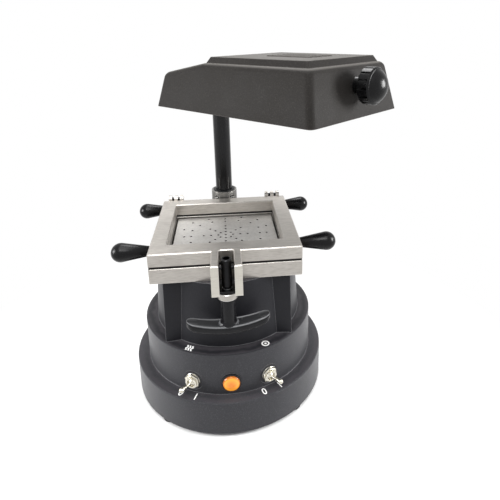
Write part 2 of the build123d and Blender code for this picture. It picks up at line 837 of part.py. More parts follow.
with BuildPart() as table_screws:
    with BuildSketch(Plane.XY.offset(roof_z + roof_t / 2 - table_head_h)):
        with Locations(table_screw_spots):
            Circle(table_head_r)
    extrude(amount=table_head_h)
    with BuildSketch(Plane.XY.offset(roof_z + roof_t / 2)):
        with Locations(table_screw_spots):
            Circle(pan_screw_r)
    extrude(amount=(plate_z + plenum_z) / 2 - roof_z - roof_t / 2)
table_screws.part.label = "table_screws"
export_step(table_screws.part, "parts/table_screws.step")


# ================================================================ POST

with BuildPart() as heater_post:
    with BuildSketch(Plane.XY.offset(post_foot_z)):
        with Locations((0, post_y)):
            Circle(post_r)
            Circle(post_bore_r, mode=Mode.SUBTRACT)
    extrude(amount=post_top_z - post_foot_z)
    # the groove that keeps the carriage square
    with BuildSketch(Plane.XY.offset(tower_z)):
        with Locations((0, post_y + post_r)):
            Rectangle(key_w + 2 * part_gap, 2 * key_groove_depth)
    extrude(amount=lift_travel + lower_frame_t + key_w, mode=Mode.SUBTRACT)
heater_post.part.label = "heater_post"
export_step(heater_post.part, "parts/heater_post.step")

with BuildPart() as post_screw:
    with BuildSketch(Plane.XZ.offset(-(post_y + post_r))):
        with Locations((0, post_screw_z)):
            Circle(post_screw_r)
    extrude(amount=-(pilaster_r - post_r + frame_edge))
post_screw.part.label = "post_screw"
export_step(post_screw.part, "parts/post_screw.step")

thrust_top_z = plate_z0 - running_fit
with BuildPart() as thrust_collar:
    with BuildSketch(Plane.XY.offset(thrust_top_z - thrust_h)):
        with Locations((0, post_y)):
            Circle(thrust_r)
            Circle(post_r + seat_fit, mode=Mode.SUBTRACT)
    extrude(amount=thrust_h)
    collar_rims = thrust_collar.edges().filter_by(GeomType.CIRCLE).group_by(SortBy.RADIUS)[-1]
    chamfer(collar_rims, frame_edge)
thrust_collar.part.label = "thrust_collar"
export_step(thrust_collar.part, "parts/thrust_collar.step")


# ================================================================ CARRIAGE AND LOWER FRAME

def frame_outline():
    """The square of a clamping frame with its two lugs and the latch slot between them."""
    with Locations((0, frame_mid_y)):
        RectangleRounded(frame_w, frame_d, frame_corner_r)
    lug_outline()


def lug_outline():
    with Locations((0, frame_front_y - lug_reach / 2)):
        Rectangle(2 * lug_half_w, lug_reach)


def window_and_slot():
    with Locations((0, table_y)):
        Rectangle(window_w, window_d, mode=Mode.SUBTRACT)
    slot_cut()


def slot_cut():
    with Locations((0, frame_front_y - lug_reach / 2)):
        RectangleRounded(2 * slot_half_w, lug_reach + 2 * slot_round, slot_round, mode=Mode.SUBTRACT)
    with Locations((0, lug_front_y)):
        Rectangle(2 * slot_half_w, 4 * slot_round, mode=Mode.SUBTRACT)


def side_plane(side, x, y, z):
    """A plane facing out to one side."""
    return Plane((side * x, y, z), x_dir=(0, 1, 0), z_dir=(side, 0, 0))


def ear_outline(low_z):
    """One ear of a hinge, standing on low_z and round about the pin."""
    with Locations((hinge_y, hinge_z)):
        Circle(ear_r)
    with Locations((hinge_y, (low_z + hinge_z) / 2)):
        Rectangle(2 * ear_r, hinge_z - low_z)


ear_centres = [side * hinge_x + half * (hinge_w - ear_t) / 2 for side in (-1, 1) for half in (-1, 1)]

with BuildPart() as lower_frame:
    with BuildSketch(Plane.XY.offset(lower_frame_z)):
        frame_outline()
        with Locations((0, (frame_rear_y - beam_round + beam_rear_y) / 2)):
            RectangleRounded(2 * beam_half_w, beam_rear_y - frame_rear_y + beam_round, beam_round)
        window_and_slot()
    extrude(amount=lower_frame_t)
    chamfer(lower_frame.faces().sort_by(Axis.Z)[-1].edges(), frame_edge)
    with BuildSketch(Plane.XY.offset(split_z - frame_edge)):
        lug_outline()
        slot_cut()
    extrude(amount=frame_edge + gasket_half_t - part_gap / 2)
    with BuildSketch(Plane.XY.offset(lower_frame_z)):
        with Locations((0, post_y)):
            Circle(collar_r)
    extrude(amount=collar_top_z - lower_frame_z)
    for x in ear_centres:
        with BuildSketch(Plane.YZ.offset(x - ear_t / 2)):
            ear_outline(split_z - frame_edge)
        extrude(amount=ear_t)
    with BuildSketch(Plane.XY.offset(lower_frame_z)):
        with Locations((0, post_y)):
            Circle(bush_r + seat_fit)
    extrude(amount=collar_top_z - lower_frame_z, mode=Mode.SUBTRACT)
    with BuildSketch(Plane.YZ.offset(-hinge_x - hinge_w)):
        with Locations((hinge_y, hinge_z)):
            Circle(hinge_pin_r + seat_fit)
    extrude(amount=2 * (hinge_x + hinge_w), mode=Mode.SUBTRACT)
    with BuildSketch(Plane.XZ.offset(-beam_rear_y)):
        with Locations((0, lower_mid_z)):
            Circle(key_w / 2 + seat_fit)
    extrude(amount=beam_rear_y - post_y, mode=Mode.SUBTRACT)
    for side in (-1, 1):
        with BuildSketch(side_plane(side, beam_half_w, rear_grip_y, lower_mid_z)):
            Circle(stud_r + seat_fit)
        extrude(amount=-stud_depth, mode=Mode.SUBTRACT)
lower_frame.part.label = "lower_frame"
export_step(lower_frame.part, "parts/lower_frame.step")

with BuildPart() as collar_bush:
    with BuildSketch(Plane.XY.offset(lower_frame_z)):
        with Locations((0, post_y)):
            Circle(bush_r)
            Circle(post_r + running_fit, mode=Mode.SUBTRACT)
    extrude(amount=collar_top_z + bush_proud - lower_frame_z)
    with BuildSketch(Plane.XZ.offset(-beam_rear_y)):
        with Locations((0, lower_mid_z)):
            Circle(key_w / 2 + seat_fit)
    extrude(amount=beam_rear_y - post_y, mode=Mode.SUBTRACT)
collar_bush.part.label = "collar_bush"
export_step(collar_bush.part, "parts/collar_bush.step")

with BuildPart() as key_screw:
    with BuildSketch(Plane.XZ.offset(-beam_rear_y)):
        with Locations((0, lower_mid_z)):
            Circle(key_w / 2)
    extrude(amount=beam_rear_y - (post_y + post_r - key_groove_depth) - screw_gap)
    with BuildSketch(Plane.XZ.offset(-beam_rear_y)):
        with Locations((0, lower_mid_z)):
            Circle(key_w)
    extrude(amount=-key_w / 2)
key_screw.part.label = "key_screw"
export_step(key_screw.part, "parts/key_screw.step")


def split_gasket():
    """A flat ring of rubber between the frames, standing back from their edges."""
    with Locations((0, frame_mid_y)):
        Rectangle(frame_w - 2 * split_inset, frame_d - 2 * split_inset)
    with Locations((0, table_y)):
        Rectangle(window_w, window_d, mode=Mode.SUBTRACT)


with BuildPart() as lower_gasket:
    with BuildSketch(Plane.XY.offset(split_z)):
        split_gasket()
    extrude(amount=gasket_half_t)
lower_gasket.part.label = "lower_gasket"
export_step(lower_gasket.part, "parts/lower_gasket.step")

with BuildPart() as upper_gasket:
    with BuildSketch(Plane.XY.offset(split_z + gasket_half_t)):
        split_gasket()
    extrude(amount=gasket_half_t)
upper_gasket.part.label = "upper_gasket"
export_step(upper_gasket.part, "parts/upper_gasket.step")


grip_ball = grip_l - grip_ball_r
touch = atan2(grip_root_r, -grip_ball) - acos(grip_ball_r / hypot(grip_ball, grip_root_r))
# one pear-shaped grip, standing on its bored end
with BuildPart() as pear_grip:
    with BuildSketch(Plane.XZ):
        with BuildLine():
            neck = (grip_ball_r * sin(touch), grip_ball + grip_ball_r * cos(touch))
            belly = (grip_ball_r * sin(touch / 2), grip_ball + grip_ball_r * cos(touch / 2))
            Line((0, 0), (grip_root_r, 0))
            Line((grip_root_r, 0), neck)
            ThreePointArc(neck, belly, (0, grip_l))
            Line((0, grip_l), (0, 0))
        make_face()
    revolve(axis=Axis.Z)
    with BuildSketch():
        Circle(stud_r + seat_fit)
    extrude(amount=grip_bore_depth, mode=Mode.SUBTRACT)

rear_grip_spots = [side_plane(side, beam_half_w, rear_grip_y, lower_mid_z) for side in (-1, 1)]
front_grip_spots = [side_plane(side, frame_w / 2, front_grip_y, upper_mid_z) for side in (-1, 1)]

with BuildPart() as rear_grips:
    with Locations([spot.location for spot in rear_grip_spots]):
        add(pear_grip.part)
rear_grips.part.label = "rear_grips"
export_step(rear_grips.part, "parts/rear_grips.step")

with BuildPart() as front_grips:
    with Locations([spot.location for spot in front_grip_spots]):
        add(pear_grip.part)
front_grips.part.label = "front_grips"
export_step(front_grips.part, "parts/front_grips.step")

with BuildPart() as rear_studs:
    for spot in rear_grip_spots:
        with BuildSketch(spot.offset(-stud_depth)):
            Circle(stud_r)
        extrude(amount=stud_depth + grip_bore_depth)
rear_studs.part.label = "rear_studs"
export_step(rear_studs.part, "parts/rear_studs.step")

with BuildPart() as front_studs:
    for spot in front_grip_spots:
        with BuildSketch(spot.offset(-stud_depth)):
            Circle(stud_r)
        extrude(amount=stud_depth + grip_bore_depth)
front_studs.part.label = "front_studs"
export_step(front_studs.part, "parts/front_studs.step")

with BuildPart() as hinge_pins:
    for side in (-1, 1):
        with BuildSketch(Plane.YZ.offset(side * hinge_x - hinge_w / 2)):
            with Locations((hinge_y, hinge_z)):
                Circle(hinge_pin_r)
        extrude(amount=hinge_w)
hinge_pins.part.label = "hinge_pins"
export_step(hinge_pins.part, "parts/hinge_pins.step")

with BuildPart() as latch_keeper:
    with BuildSketch(Plane.XY.offset(keeper_z)):
        with Locations((0, latch_y)):
            Rectangle(2 * slot_half_w, 2 * slot_half_w)
            Circle(latch_screw_r + screw_gap, mode=Mode.SUBTRACT)
    extrude(amount=keeper_t)
latch_keeper.part.label = "latch_keeper"
export_step(latch_keeper.part, "parts/latch_keeper.step")


# ================================================================ UPPER FRAME

with BuildPart() as upper_frame:
    with BuildSketch(Plane.XY.offset(upper_frame_z)):
        frame_outline()
        window_and_slot()
        with Locations((0, post_y)):
            Circle(collar_r + collar_relief, mode=Mode.SUBTRACT)
    extrude(amount=upper_frame_t)
    chamfer(upper_frame.faces().sort_by(Axis.Z)[-1].edges(), frame_edge)
    with BuildSketch(Plane.XY.offset(lug_split_z + part_gap / 2)):
        lug_outline()
        slot_cut()
    extrude(amount=gasket_half_t)
    for side in (-1, 1):
        with BuildSketch(Plane.YZ.offset(side * hinge_x - tongue_half_w)):
            with Locations((hinge_y, hinge_z)):
                Circle(ear_r - part_gap)
            with Locations(((frame_rear_y - ear_r + hinge_y) / 2, hinge_z - tongue_drop / 2)):
                Rectangle(hinge_y - frame_rear_y + ear_r, tongue_drop)
        extrude(amount=2 * tongue_half_w)
    with BuildSketch(Plane.YZ.offset(-hinge_x - hinge_w)):
        with Locations((hinge_y, hinge_z)):
            Circle(hinge_pin_r + running_fit)
    extrude(amount=2 * (hinge_x + hinge_w), mode=Mode.SUBTRACT)
    with BuildSketch(Plane.YZ.offset(-lug_half_w)):
        with Locations((latch_y, latch_pin_z)):
            Circle(latch_pin_r + seat_fit)
    extrude(amount=2 * lug_half_w, mode=Mode.SUBTRACT)
    for side in (-1, 1):
        with BuildSketch(side_plane(side, frame_w / 2, front_grip_y, upper_mid_z)):
            Circle(stud_r + seat_fit)
        extrude(amount=-stud_depth, mode=Mode.SUBTRACT)
upper_frame.part.label = "upper_frame"
export_step(upper_frame.part, "parts/upper_frame.step")

with BuildPart() as latch_pin:
    with BuildSketch(Plane.YZ.offset(-lug_half_w)):
        with Locations((latch_y, latch_pin_z)):
            Circle(latch_pin_r)
    extrude(amount=2 * lug_half_w)
latch_pin.part.label = "latch_pin"
export_step(latch_pin.part, "parts/latch_pin.step")


# ================================================================ LATCH

with BuildPart() as latch_barrel:
    with BuildSketch(latch_line.offset(barrel_bottom_z)):
        Circle(barrel_r)
    extrude(amount=barrel_top_z - barrel_bottom_z)
    fillet(latch_barrel.faces().sort_by(Axis.Z)[0].edges(), latch_pin_r)
    chamfer(latch_barrel.faces().sort_by(Axis.Z)[-1].edges(), frame_edge)
    with BuildSketch(latch_line.offset(barrel_top_z)):
        Circle(barrel_recess_r)
    extrude(amount=-barrel_recess_h, mode=Mode.SUBTRACT)
    with BuildSketch(Plane.YZ.offset(-barrel_r)):
        with Locations((latch_y, latch_pin_z)):
            Circle(latch_pin_r + running_fit)
    extrude(amount=2 * barrel_r, mode=Mode.SUBTRACT)
latch_barrel.part.label = "latch_barrel"
export_step(latch_barrel.part, "parts/latch_barrel.step")

flange_z = keeper_z + keeper_t + part_gap
tee_screw_z = washer_z - tee_boss_h / 2
with BuildPart() as latch_screw:
    with BuildSketch(latch_line.offset(tee_screw_z)):
        Circle(latch_screw_r)
    extrude(amount=flange_z - tee_screw_z)
    with BuildSketch(latch_line.offset(flange_z)):
        Circle(latch_flange_r)
    extrude(amount=latch_flange_t)
latch_screw.part.label = "latch_screw"
export_step(latch_screw.part, "parts/latch_screw.step")

with BuildPart() as latch_washer:
    with BuildSketch(latch_line.offset(washer_z)):
        Circle(washer_r)
        Circle(latch_screw_r + seat_fit, mode=Mode.SUBTRACT)
    extrude(amount=washer_t)
    chamfer(latch_washer.edges().filter_by(GeomType.CIRCLE).group_by(SortBy.RADIUS)[-1], frame_edge / 2)
latch_washer.part.label = "latch_washer"
export_step(latch_washer.part, "parts/latch_washer.step")

tee_dir = radians(tee_angle)
tee_along = (cos(tee_dir), sin(tee_dir), 0)
tee_side = Plane((0, latch_y, 0), x_dir=tee_along, z_dir=(sin(tee_dir), -cos(tee_dir), 0))
tee_plan = Plane((0, latch_y, 0), x_dir=tee_along, z_dir=(0, 0, 1))
tee_wing_z = washer_z - tee_boss_h
with BuildPart() as latch_handle:
    # the wings: a curved bar seen from the front, cut to a boat shape seen from above
    with BuildSketch(tee_side.offset(-tee_half_depth)):
        with BuildLine():
            ends_low = tee_wing_z - tee_t + tee_lift
            ends_high = tee_wing_z + tee_lift - tee_t / 5
            ThreePointArc((-tee_half_span, ends_low), (0, tee_wing_z - tee_t), (tee_half_span, ends_low))
            Line((tee_half_span, ends_low), (tee_half_span, ends_high))
            ThreePointArc((tee_half_span, ends_high), (0, tee_wing_z), (-tee_half_span, ends_high))
            Line((-tee_half_span, ends_high), (-tee_half_span, ends_low))
        make_face()
    extrude(amount=2 * tee_half_depth)
    with BuildSketch(tee_plan.offset(tee_wing_z - 2 * tee_t)):
        with BuildLine():
            end_x = tee_half_span - tee_end_half_depth
            ThreePointArc((-end_x, tee_end_half_depth), (0, tee_half_depth), (end_x, tee_end_half_depth))
            ThreePointArc((end_x, tee_end_half_depth), (tee_half_span, 0), (end_x, -tee_end_half_depth))
            ThreePointArc((end_x, -tee_end_half_depth), (0, -tee_half_depth), (-end_x, -tee_end_half_depth))
            ThreePointArc((-end_x, -tee_end_half_depth), (-tee_half_span, 0), (-end_x, tee_end_half_depth))
        make_face()
    extrude(amount=4 * tee_t, mode=Mode.INTERSECT)
    with BuildSketch(tee_side):
        with BuildLine():
            flare_low = (tee_boss_r + tee_flare, tee_wing_z - tee_flare)
            flare_high = (tee_boss_r, tee_wing_z + tee_flare)
            Line((0, tee_wing_z - tee_t / 2), (tee_boss_r + tee_flare, tee_wing_z - tee_t / 2))
            Line((tee_boss_r + tee_flare, tee_wing_z - tee_t / 2), flare_low)
            RadiusArc(flare_low, flare_high, tee_boss_r)
            Line(flare_high, (tee_boss_r, washer_z))
            Line((tee_boss_r, washer_z), (0, washer_z))
            Line((0, washer_z), (0, tee_wing_z - tee_t / 2))
        make_face()
    revolve(axis=Axis((0, latch_y, 0), (0, 0, 1)))
    with BuildSketch(tee_plan.offset(tee_screw_z)):
        Circle(latch_screw_r + seat_fit)
    extrude(amount=tee_boss_h / 2, mode=Mode.SUBTRACT)
latch_handle.part.label = "latch_handle"
export_step(latch_handle.part, "parts/latch_handle.step")


# ================================================================ HEATER HEAD

def head_block(inset, low, roof_drop):
    """The head's drafted box with its sloping rear roof; inset and roof_drop give the inner hollow."""
    high = head_top_z - roof_drop
    with BuildPart() as block:
        for level in (low, high):
            shrink = 2 * (inset + (level - head_rim_z) * draft_run)
            with BuildSketch(head_plane.offset(level)):
                with Locations((head_mid, 0)):
                    RectangleRounded(head_l - shrink, head_w - shrink, head_corner_r - inset)
        loft()
        with BuildSketch(head_side.offset(-head_w)):
            slope = (head_top_z - head_rear_z) / head_slope_l
            start = (-2 * head_rear, head_rear_z - roof_drop - slope * head_rear)
            knee = (head_slope_l - head_rear, high)
            Polygon(start, knee, (knee[0], high + head_rear), (start[0], high + head_rear), align=None)
        extrude(amount=2 * head_w, mode=Mode.SUBTRACT)
        if roof_drop == 0:
            roof = [f for f in block.faces() if f.normal_at().Z > 0.9]
            fillet(ShapeList([e for f in roof for e in f.edges() if e.center().Z > low]), head_edge)
    return block.part


knob_face_x = head_front - (knob_z - head_rim_z) * draft_run
knob_seat_x = knob_face_x + knob_neck_r * draft_run + part_gap
knob_plane = Plane(
    (knob_seat_x * cos(head_dir), post_y + knob_seat_x * sin(head_dir), knob_z),
    x_dir=(-sin(head_dir), cos(head_dir), 0),
    z_dir=(cos(head_dir), sin(head_dir), 0),
)
deck_start = head_slope_l - head_rear
deck_end = head_front - (head_top_z - head_rim_z) * draft_run - deck_inset
deck_w = head_w - 2 * ((head_top_z - head_rim_z) * draft_run + deck_inset)
head_boss_spots = [
    Location((x, side * (head_w / 2 - head_boss_inset)))
    for side in (-1, 1)
    for x in (head_boss_inset - head_rear, head_front - head_boss_inset)
]
head_outside = head_block(0, head_rim_z, 0)
head_hollow = head_block(head_wall, head_rim_z - part_gap, head_wall)
with BuildPart() as heater_cover:
    add(head_outside)
    with BuildSketch(knob_plane):
        Circle(knob_neck_r + frame_edge)
    extrude(amount=-knob_neck_r)
    with BuildSketch(head_plane.offset(head_top_z - deck_edge)):
        with Locations(((deck_start + deck_end) / 2, 0)):
            RectangleRounded(deck_end - deck_start, deck_w, deck_corner_r)
    extrude(amount=deck_rise + deck_edge, taper=deck_taper)
    fillet(heater_cover.faces().sort_by(Axis.Z)[-1].edges(), deck_edge)
    with BuildSketch(head_plane.offset(head_top_z + deck_rise)):
        with Locations((deck_end - vent_bar_l, 0)):
            with GridLocations(1, vent_pitch, 1, vent_bars):
                SlotOverall(vent_bar_l, vent_bar_w)
    extrude(amount=vent_bar_h)
    add(head_hollow, mode=Mode.SUBTRACT)
    with BuildSketch(head_plane.offset(hub_z)):
        with Locations(head_boss_spots):
            Circle(head_boss_r)
    extrude(amount=head_rear_z - hub_z)
    with BuildSketch(head_plane.offset(hub_z)):
        with Locations(head_boss_spots):
            Circle(plate_screw_r + seat_fit)
    extrude(amount=plate_screw_l, mode=Mode.SUBTRACT)
    with BuildSketch(knob_plane):
        Circle(stud_r + seat_fit)
    extrude(amount=-3 * knob_neck_r, mode=Mode.SUBTRACT)
heater_cover.part.label = "heater_cover"
export_step(heater_cover.part, "parts/heater_cover.step")

plate_inset = head_wall + (plate_recess + plate_t) * draft_run + plate_play
hub_spots = GridLocations(2 * hub_screw_x, 2 * hub_screw_y, 2, 2).locations
with BuildPart() as bottom_plate:
    with BuildSketch(head_plane.offset(plate_z0)):
        with Locations((head_mid, 0)):
            RectangleRounded(head_l - 2 * plate_inset, head_w - 2 * plate_inset, head_corner_r - head_wall)
        Circle(post_r + screw_gap, mode=Mode.SUBTRACT)
        with Locations((heat_mid, 0)):
            Rectangle(heat_l, heat_w, mode=Mode.SUBTRACT)
        with Locations(hub_spots):
            Circle(hub_screw_r + screw_gap, mode=Mode.SUBTRACT)
        with Locations(head_boss_spots):
            Circle(plate_screw_r + screw_gap, mode=Mode.SUBTRACT)
    extrude(amount=plate_t)
bottom_plate.part.label = "bottom_plate"
export_step(bottom_plate.part, "parts/bottom_plate.step")

with BuildPart() as guard_grille:
    with BuildSketch(head_plane.offset(hub_z)):
        with Locations((heat_mid, 0)):
            Rectangle(heat_l + 2 * grille_lip, heat_w + 2 * grille_lip)
            with GridLocations(heat_l / grille_slots, 1, grille_slots, 1):
                Rectangle(grille_slot_w, heat_w - grille_lip, mode=Mode.SUBTRACT)
            for y in (-heat_w / 4, 0, heat_w / 4):
                with Locations((0, y)):
                    Rectangle(heat_l, grille_rib_w)
    extrude(amount=grille_t)
guard_grille.part.label = "guard_grille"
export_step(guard_grille.part, "parts/guard_grille.step")

tray_z = hub_z + grille_t
tray_half_l = heat_l / 2 + grille_lip / 2
tray_half_w = heat_w / 2 + grille_lip / 2
element_z = tray_z + tray_h - tray_wall - element_drop
element_x = heat_mid - element_pitch * (element_runs - 1) / 2
element_end_y = tray_half_w + tray_wall + tray_lip
with BuildPart() as reflector:
    with BuildSketch(head_plane.offset(tray_z)):
        with Locations((heat_mid, 0)):
            Rectangle(2 * (tray_half_l + tray_wall), 2 * (tray_half_w + tray_wall))
    extrude(amount=tray_h)
    with BuildSketch(head_plane.offset(tray_z)):
        with Locations((heat_mid, 0)):
            Rectangle(2 * tray_half_l, 2 * tray_half_w)
    extrude(amount=tray_h - tray_wall, mode=Mode.SUBTRACT)
    for x, side in ((element_x, -1), (element_x + element_pitch * (element_runs - 1), 1)):
        end = head_plane.from_local_coords((x, side * (tray_half_w + 2 * tray_wall), element_z))
        with BuildSketch(Plane(end, x_dir=head_plane.x_dir, z_dir=head_plane.y_dir * -side)):
            Circle(element_r + screw_gap)
        extrude(amount=3 * tray_wall, mode=Mode.SUBTRACT)
reflector.part.label = "reflector"
export_step(reflector.part, "parts/reflector.step")

with BuildPart() as heating_element:
    with BuildLine(head_plane.offset(element_z)) as run:
        for k in range(element_runs):
            x = element_x + k * element_pitch
            way = 1 if k % 2 == 0 else -1
            first = -element_end_y if k == 0 else -way * element_half_l
            last = element_end_y if k == element_runs - 1 else way * element_half_l
            Line((x, first), (x, last))
            if k < element_runs - 1:
                crest = (x + element_pitch / 2, last + way * element_pitch / 2)
                ThreePointArc((x, last), crest, (x + element_pitch, last))
    with BuildSketch(Plane(run.line @ 0, z_dir=run.line % 0)):
        Circle(element_r)
    sweep(path=run.line)
heating_element.part.label = "heating_element"
export_step(heating_element.part, "parts/heating_element.step")

with BuildPart() as element_posts:
    with BuildSketch(head_plane.offset(element_z + element_r)):
        for x in (element_x + element_pitch, element_x + 3 * element_pitch):
            with Locations((x, -element_half_l / 2), (x, element_half_l / 2)):
                Circle(element_r)
    extrude(amount=element_drop - element_r)
element_posts.part.label = "element_posts"
export_step(element_posts.part, "parts/element_posts.step")

with BuildPart() as head_hub:
    with BuildSketch(head_plane.offset(hub_z)):
        RectangleRounded(hub_flange_l, hub_flange_w, frame_corner_r)
    extrude(amount=hub_flange_t)
    with BuildSketch(head_plane.offset(hub_z)):
        Circle(hub_r)
    extrude(amount=hub_h)
    with BuildSketch(head_plane.offset(hub_z)):
        Circle(post_r + running_fit)
        with Locations(hub_spots):
            Circle(hub_screw_r + seat_fit)
    extrude(amount=hub_h, mode=Mode.SUBTRACT)
head_hub.part.label = "head_hub"
export_step(head_hub.part, "parts/head_hub.step")

with BuildPart() as hub_screws:
    with BuildSketch(head_plane.offset(plate_z0 - screw_head_h)):
        with Locations(hub_spots):
            Circle(hub_head_r)
    extrude(amount=screw_head_h)
    with BuildSketch(head_plane.offset(plate_z0)):
        with Locations(hub_spots):
            Circle(hub_screw_r)
    extrude(amount=plate_t + hub_flange_t)
hub_screws.part.label = "hub_screws"
export_step(hub_screws.part, "parts/hub_screws.step")

with BuildPart() as plate_screws:
    with BuildSketch(head_plane.offset(plate_z0 - screw_head_h)):
        with Locations(head_boss_spots):
            Circle(plate_head_r)
    extrude(amount=screw_head_h)
    with BuildSketch(head_plane.offset(plate_z0)):
        with Locations(head_boss_spots):
            Circle(plate_screw_r)
    extrude(amount=plate_screw_l)
plate_screws.part.label = "plate_screws"
export_step(plate_screws.part, "parts/plate_screws.step")

with BuildPart() as knob_stud:
    with BuildSketch(knob_plane.offset(-stud_back)):
        Circle(stud_r)
    extrude(amount=stud_back + knob_neck_l)
    with BuildSketch(knob_plane.offset(-knob_neck_r)):
        RegularPolygon(2 * stud_r, 6)
    extrude(amount=-stud_r)
knob_stud.part.label = "knob_stud"
export_step(knob_stud.part, "parts/knob_stud.step")

with BuildPart() as head_knob:
    with BuildSketch(knob_plane.offset(part_gap)):
        Circle(knob_neck_r)
    extrude(amount=knob_neck_l)
    with BuildSketch(knob_plane.offset(part_gap + knob_neck_l)):
        Circle(knob_r)
        with PolarLocations(knob_r + knob_flute_r / 3, knob_flutes):
            Circle(knob_flute_r, mode=Mode.SUBTRACT)
    extrude(amount=knob_l)
    dome_r = (knob_cap_r**2 + knob_dome**2) / (2 * knob_dome)
    cap = knob_plane.offset(part_gap + knob_neck_l + knob_l)
    with BuildSketch(Plane(cap.origin, x_dir=cap.z_dir, z_dir=cap.x_dir)):
        with BuildLine():
            half_way = asin(knob_cap_r / dome_r) / 2
            crown = (knob_dome - dome_r + dome_r * cos(half_way), dome_r * sin(half_way))
            ThreePointArc((0, knob_cap_r), crown, (knob_dome, 0))
            Line((knob_dome, 0), (0, 0))
            Line((0, 0), (0, knob_cap_r))
        make_face()
    revolve(axis=Axis(cap.origin, cap.z_dir))
    with BuildSketch(knob_plane.offset(part_gap)):
        Circle(stud_r + seat_fit)
    extrude(amount=knob_neck_l + part_gap, mode=Mode.SUBTRACT)
head_knob.part.label = "head_knob"
export_step(head_knob.part, "parts/head_knob.step")
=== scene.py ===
import math

import bmesh
import bpy
from mathutils import Matrix, Vector


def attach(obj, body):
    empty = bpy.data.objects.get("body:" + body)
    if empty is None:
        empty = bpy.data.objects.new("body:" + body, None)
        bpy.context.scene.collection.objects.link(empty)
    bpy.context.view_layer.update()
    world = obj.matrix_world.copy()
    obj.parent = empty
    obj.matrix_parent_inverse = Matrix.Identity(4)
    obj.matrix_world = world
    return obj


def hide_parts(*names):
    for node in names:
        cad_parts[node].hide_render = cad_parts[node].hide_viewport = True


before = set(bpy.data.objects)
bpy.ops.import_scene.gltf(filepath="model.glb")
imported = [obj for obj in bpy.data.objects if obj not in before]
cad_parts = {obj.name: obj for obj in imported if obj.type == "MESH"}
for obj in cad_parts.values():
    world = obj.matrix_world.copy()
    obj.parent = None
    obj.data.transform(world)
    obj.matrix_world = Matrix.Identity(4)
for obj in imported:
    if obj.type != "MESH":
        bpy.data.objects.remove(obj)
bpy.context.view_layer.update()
mm = 0.001
print("frame loaded,", len(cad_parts), "nodes")


# small tools; sizes and places are in millimetres

def toLinear(hexColour):
    channels = [int(hexColour[i:i + 2], 16) / 255 for i in (1, 3, 5)]
    return [c / 12.92 if c <= 0.04045 else ((c + 0.055) / 1.055) ** 2.4 for c in channels] + [1.0]


def linkInputs(tree, node, links):
    # a source is a socket, or a node whose first output is meant
    for key, source in links.items():
        socket = source.outputs[0] if hasattr(source, "outputs") else source
        tree.links.new(socket, node.inputs[key])


def addNode(tree, kind, settings=None, links=None):
    # a number as key is an input's place: a MapRange takes 0 from the range 1 to 2 into the range 3 to 4
    node = tree.nodes.new("ShaderNode" + kind)
    for key, value in (settings or {}).items():
        if isinstance(key, str) and hasattr(node, key):
            setattr(node, key, value)
        else:
            node.inputs[key].default_value = value
    linkInputs(tree, node, links or {})
    return node


def startMaterial(name, shaderSettings=None):
    material = bpy.data.materials.new(name)
    material.use_nodes = True
    tree = material.node_tree
    tree.nodes.clear()
    shader = addNode(tree, "BsdfPrincipled", shaderSettings)
    addNode(tree, "OutputMaterial", links={"Surface": shader})
    place = addNode(tree, "TexCoord").outputs["Object"]
    return material, tree, shader, place


def clearSelection():
    if bpy.context.object and bpy.context.object.mode != "OBJECT":
        bpy.ops.object.mode_set(mode="OBJECT")
    bpy.ops.object.select_all(action="DESELECT")


def selectOnly(piece):
    clearSelection()
    piece.select_set(True)
    bpy.context.view_layer.objects.active = piece


def startPicking(kind):
    bpy.ops.mesh.select_mode(type=kind)
    bpy.ops.mesh.select_all(action="DESELECT")
    return bmesh.from_edit_mesh(bpy.context.object.data)


def endPicking(mesh):
    mesh.select_flush_mode()
    bmesh.update_edit_mesh(bpy.context.object.data)


def pickFaces(test):
    mesh = startPicking("FACE")
    for face in mesh.faces:
        if test(face.calc_center_median() / mm, face.normal):
            face.select = True
    endPicking(mesh)


def pickEdges(test):
    mesh = startPicking("EDGE")
    for edge in mesh.edges:
        if test(edge.verts[0].co / mm, edge.verts[1].co / mm, [f.normal for f in edge.link_faces]):
            edge.select = True
    endPicking(mesh)


def pickPoints(test):
    mesh = startPicking("VERT")
    for point in mesh.verts:
        if test(point.co / mm):
            point.select = True
    endPicking(mesh)


def faceRound(p, sides):
    # which of a turned piece's sides p is on, counted round its axis
    return int(math.degrees(math.atan2(p.y, p.x)) % 360 * sides / 360)


def extrudeUp(height):
    bpy.ops.mesh.extrude_region_move(TRANSFORM_OT_translate={"value": (0, 0, height * mm)})


def boxPiece(name, size, centre):
    # a block that is left open in edit mode
    clearSelection()
    bpy.ops.mesh.primitive_cube_add(size=1, location=[c * mm for c in centre])
    piece = bpy.context.object
    piece.name = name
    piece.scale = [s * mm for s in size]
    bpy.ops.object.transform_apply(location=True, rotation=True, scale=True)
    bpy.ops.object.mode_set(mode="EDIT")
    return piece


def turnedPiece(name, outline, sides=48):
    # rings of (radius, height), pulled up one after another from a round face
    clearSelection()
    radius, height = outline[0]
    bpy.ops.mesh.primitive_circle_add(vertices=sides, radius=radius * mm, fill_type="NGON",
                                      location=(0, 0, height * mm))
    piece = bpy.context.object
    piece.name = name
    bpy.ops.object.transform_apply(location=True, rotation=True, scale=True)
    bpy.ops.object.mode_set(mode="EDIT")
    bpy.ops.mesh.select_all(action="SELECT")
    for nextRadius, nextHeight in outline[1:]:
        extrudeUp(nextHeight - height)
        bpy.ops.transform.resize(value=(nextRadius / radius, nextRadius / radius, 1))
        radius, height = nextRadius, nextHeight
    bpy.ops.mesh.select_all(action="SELECT")
    bpy.ops.mesh.normals_make_consistent(inside=False)
    bpy.ops.object.mode_set(mode="OBJECT")
    return piece


def applyModifier(piece, kind, **settings):
    selectOnly(piece)
    modifier = piece.modifiers.new(kind.title(), kind)
    for key, value in settings.items():
        setattr(modifier, key, value)
    bpy.ops.object.modifier_apply(modifier=modifier.name)


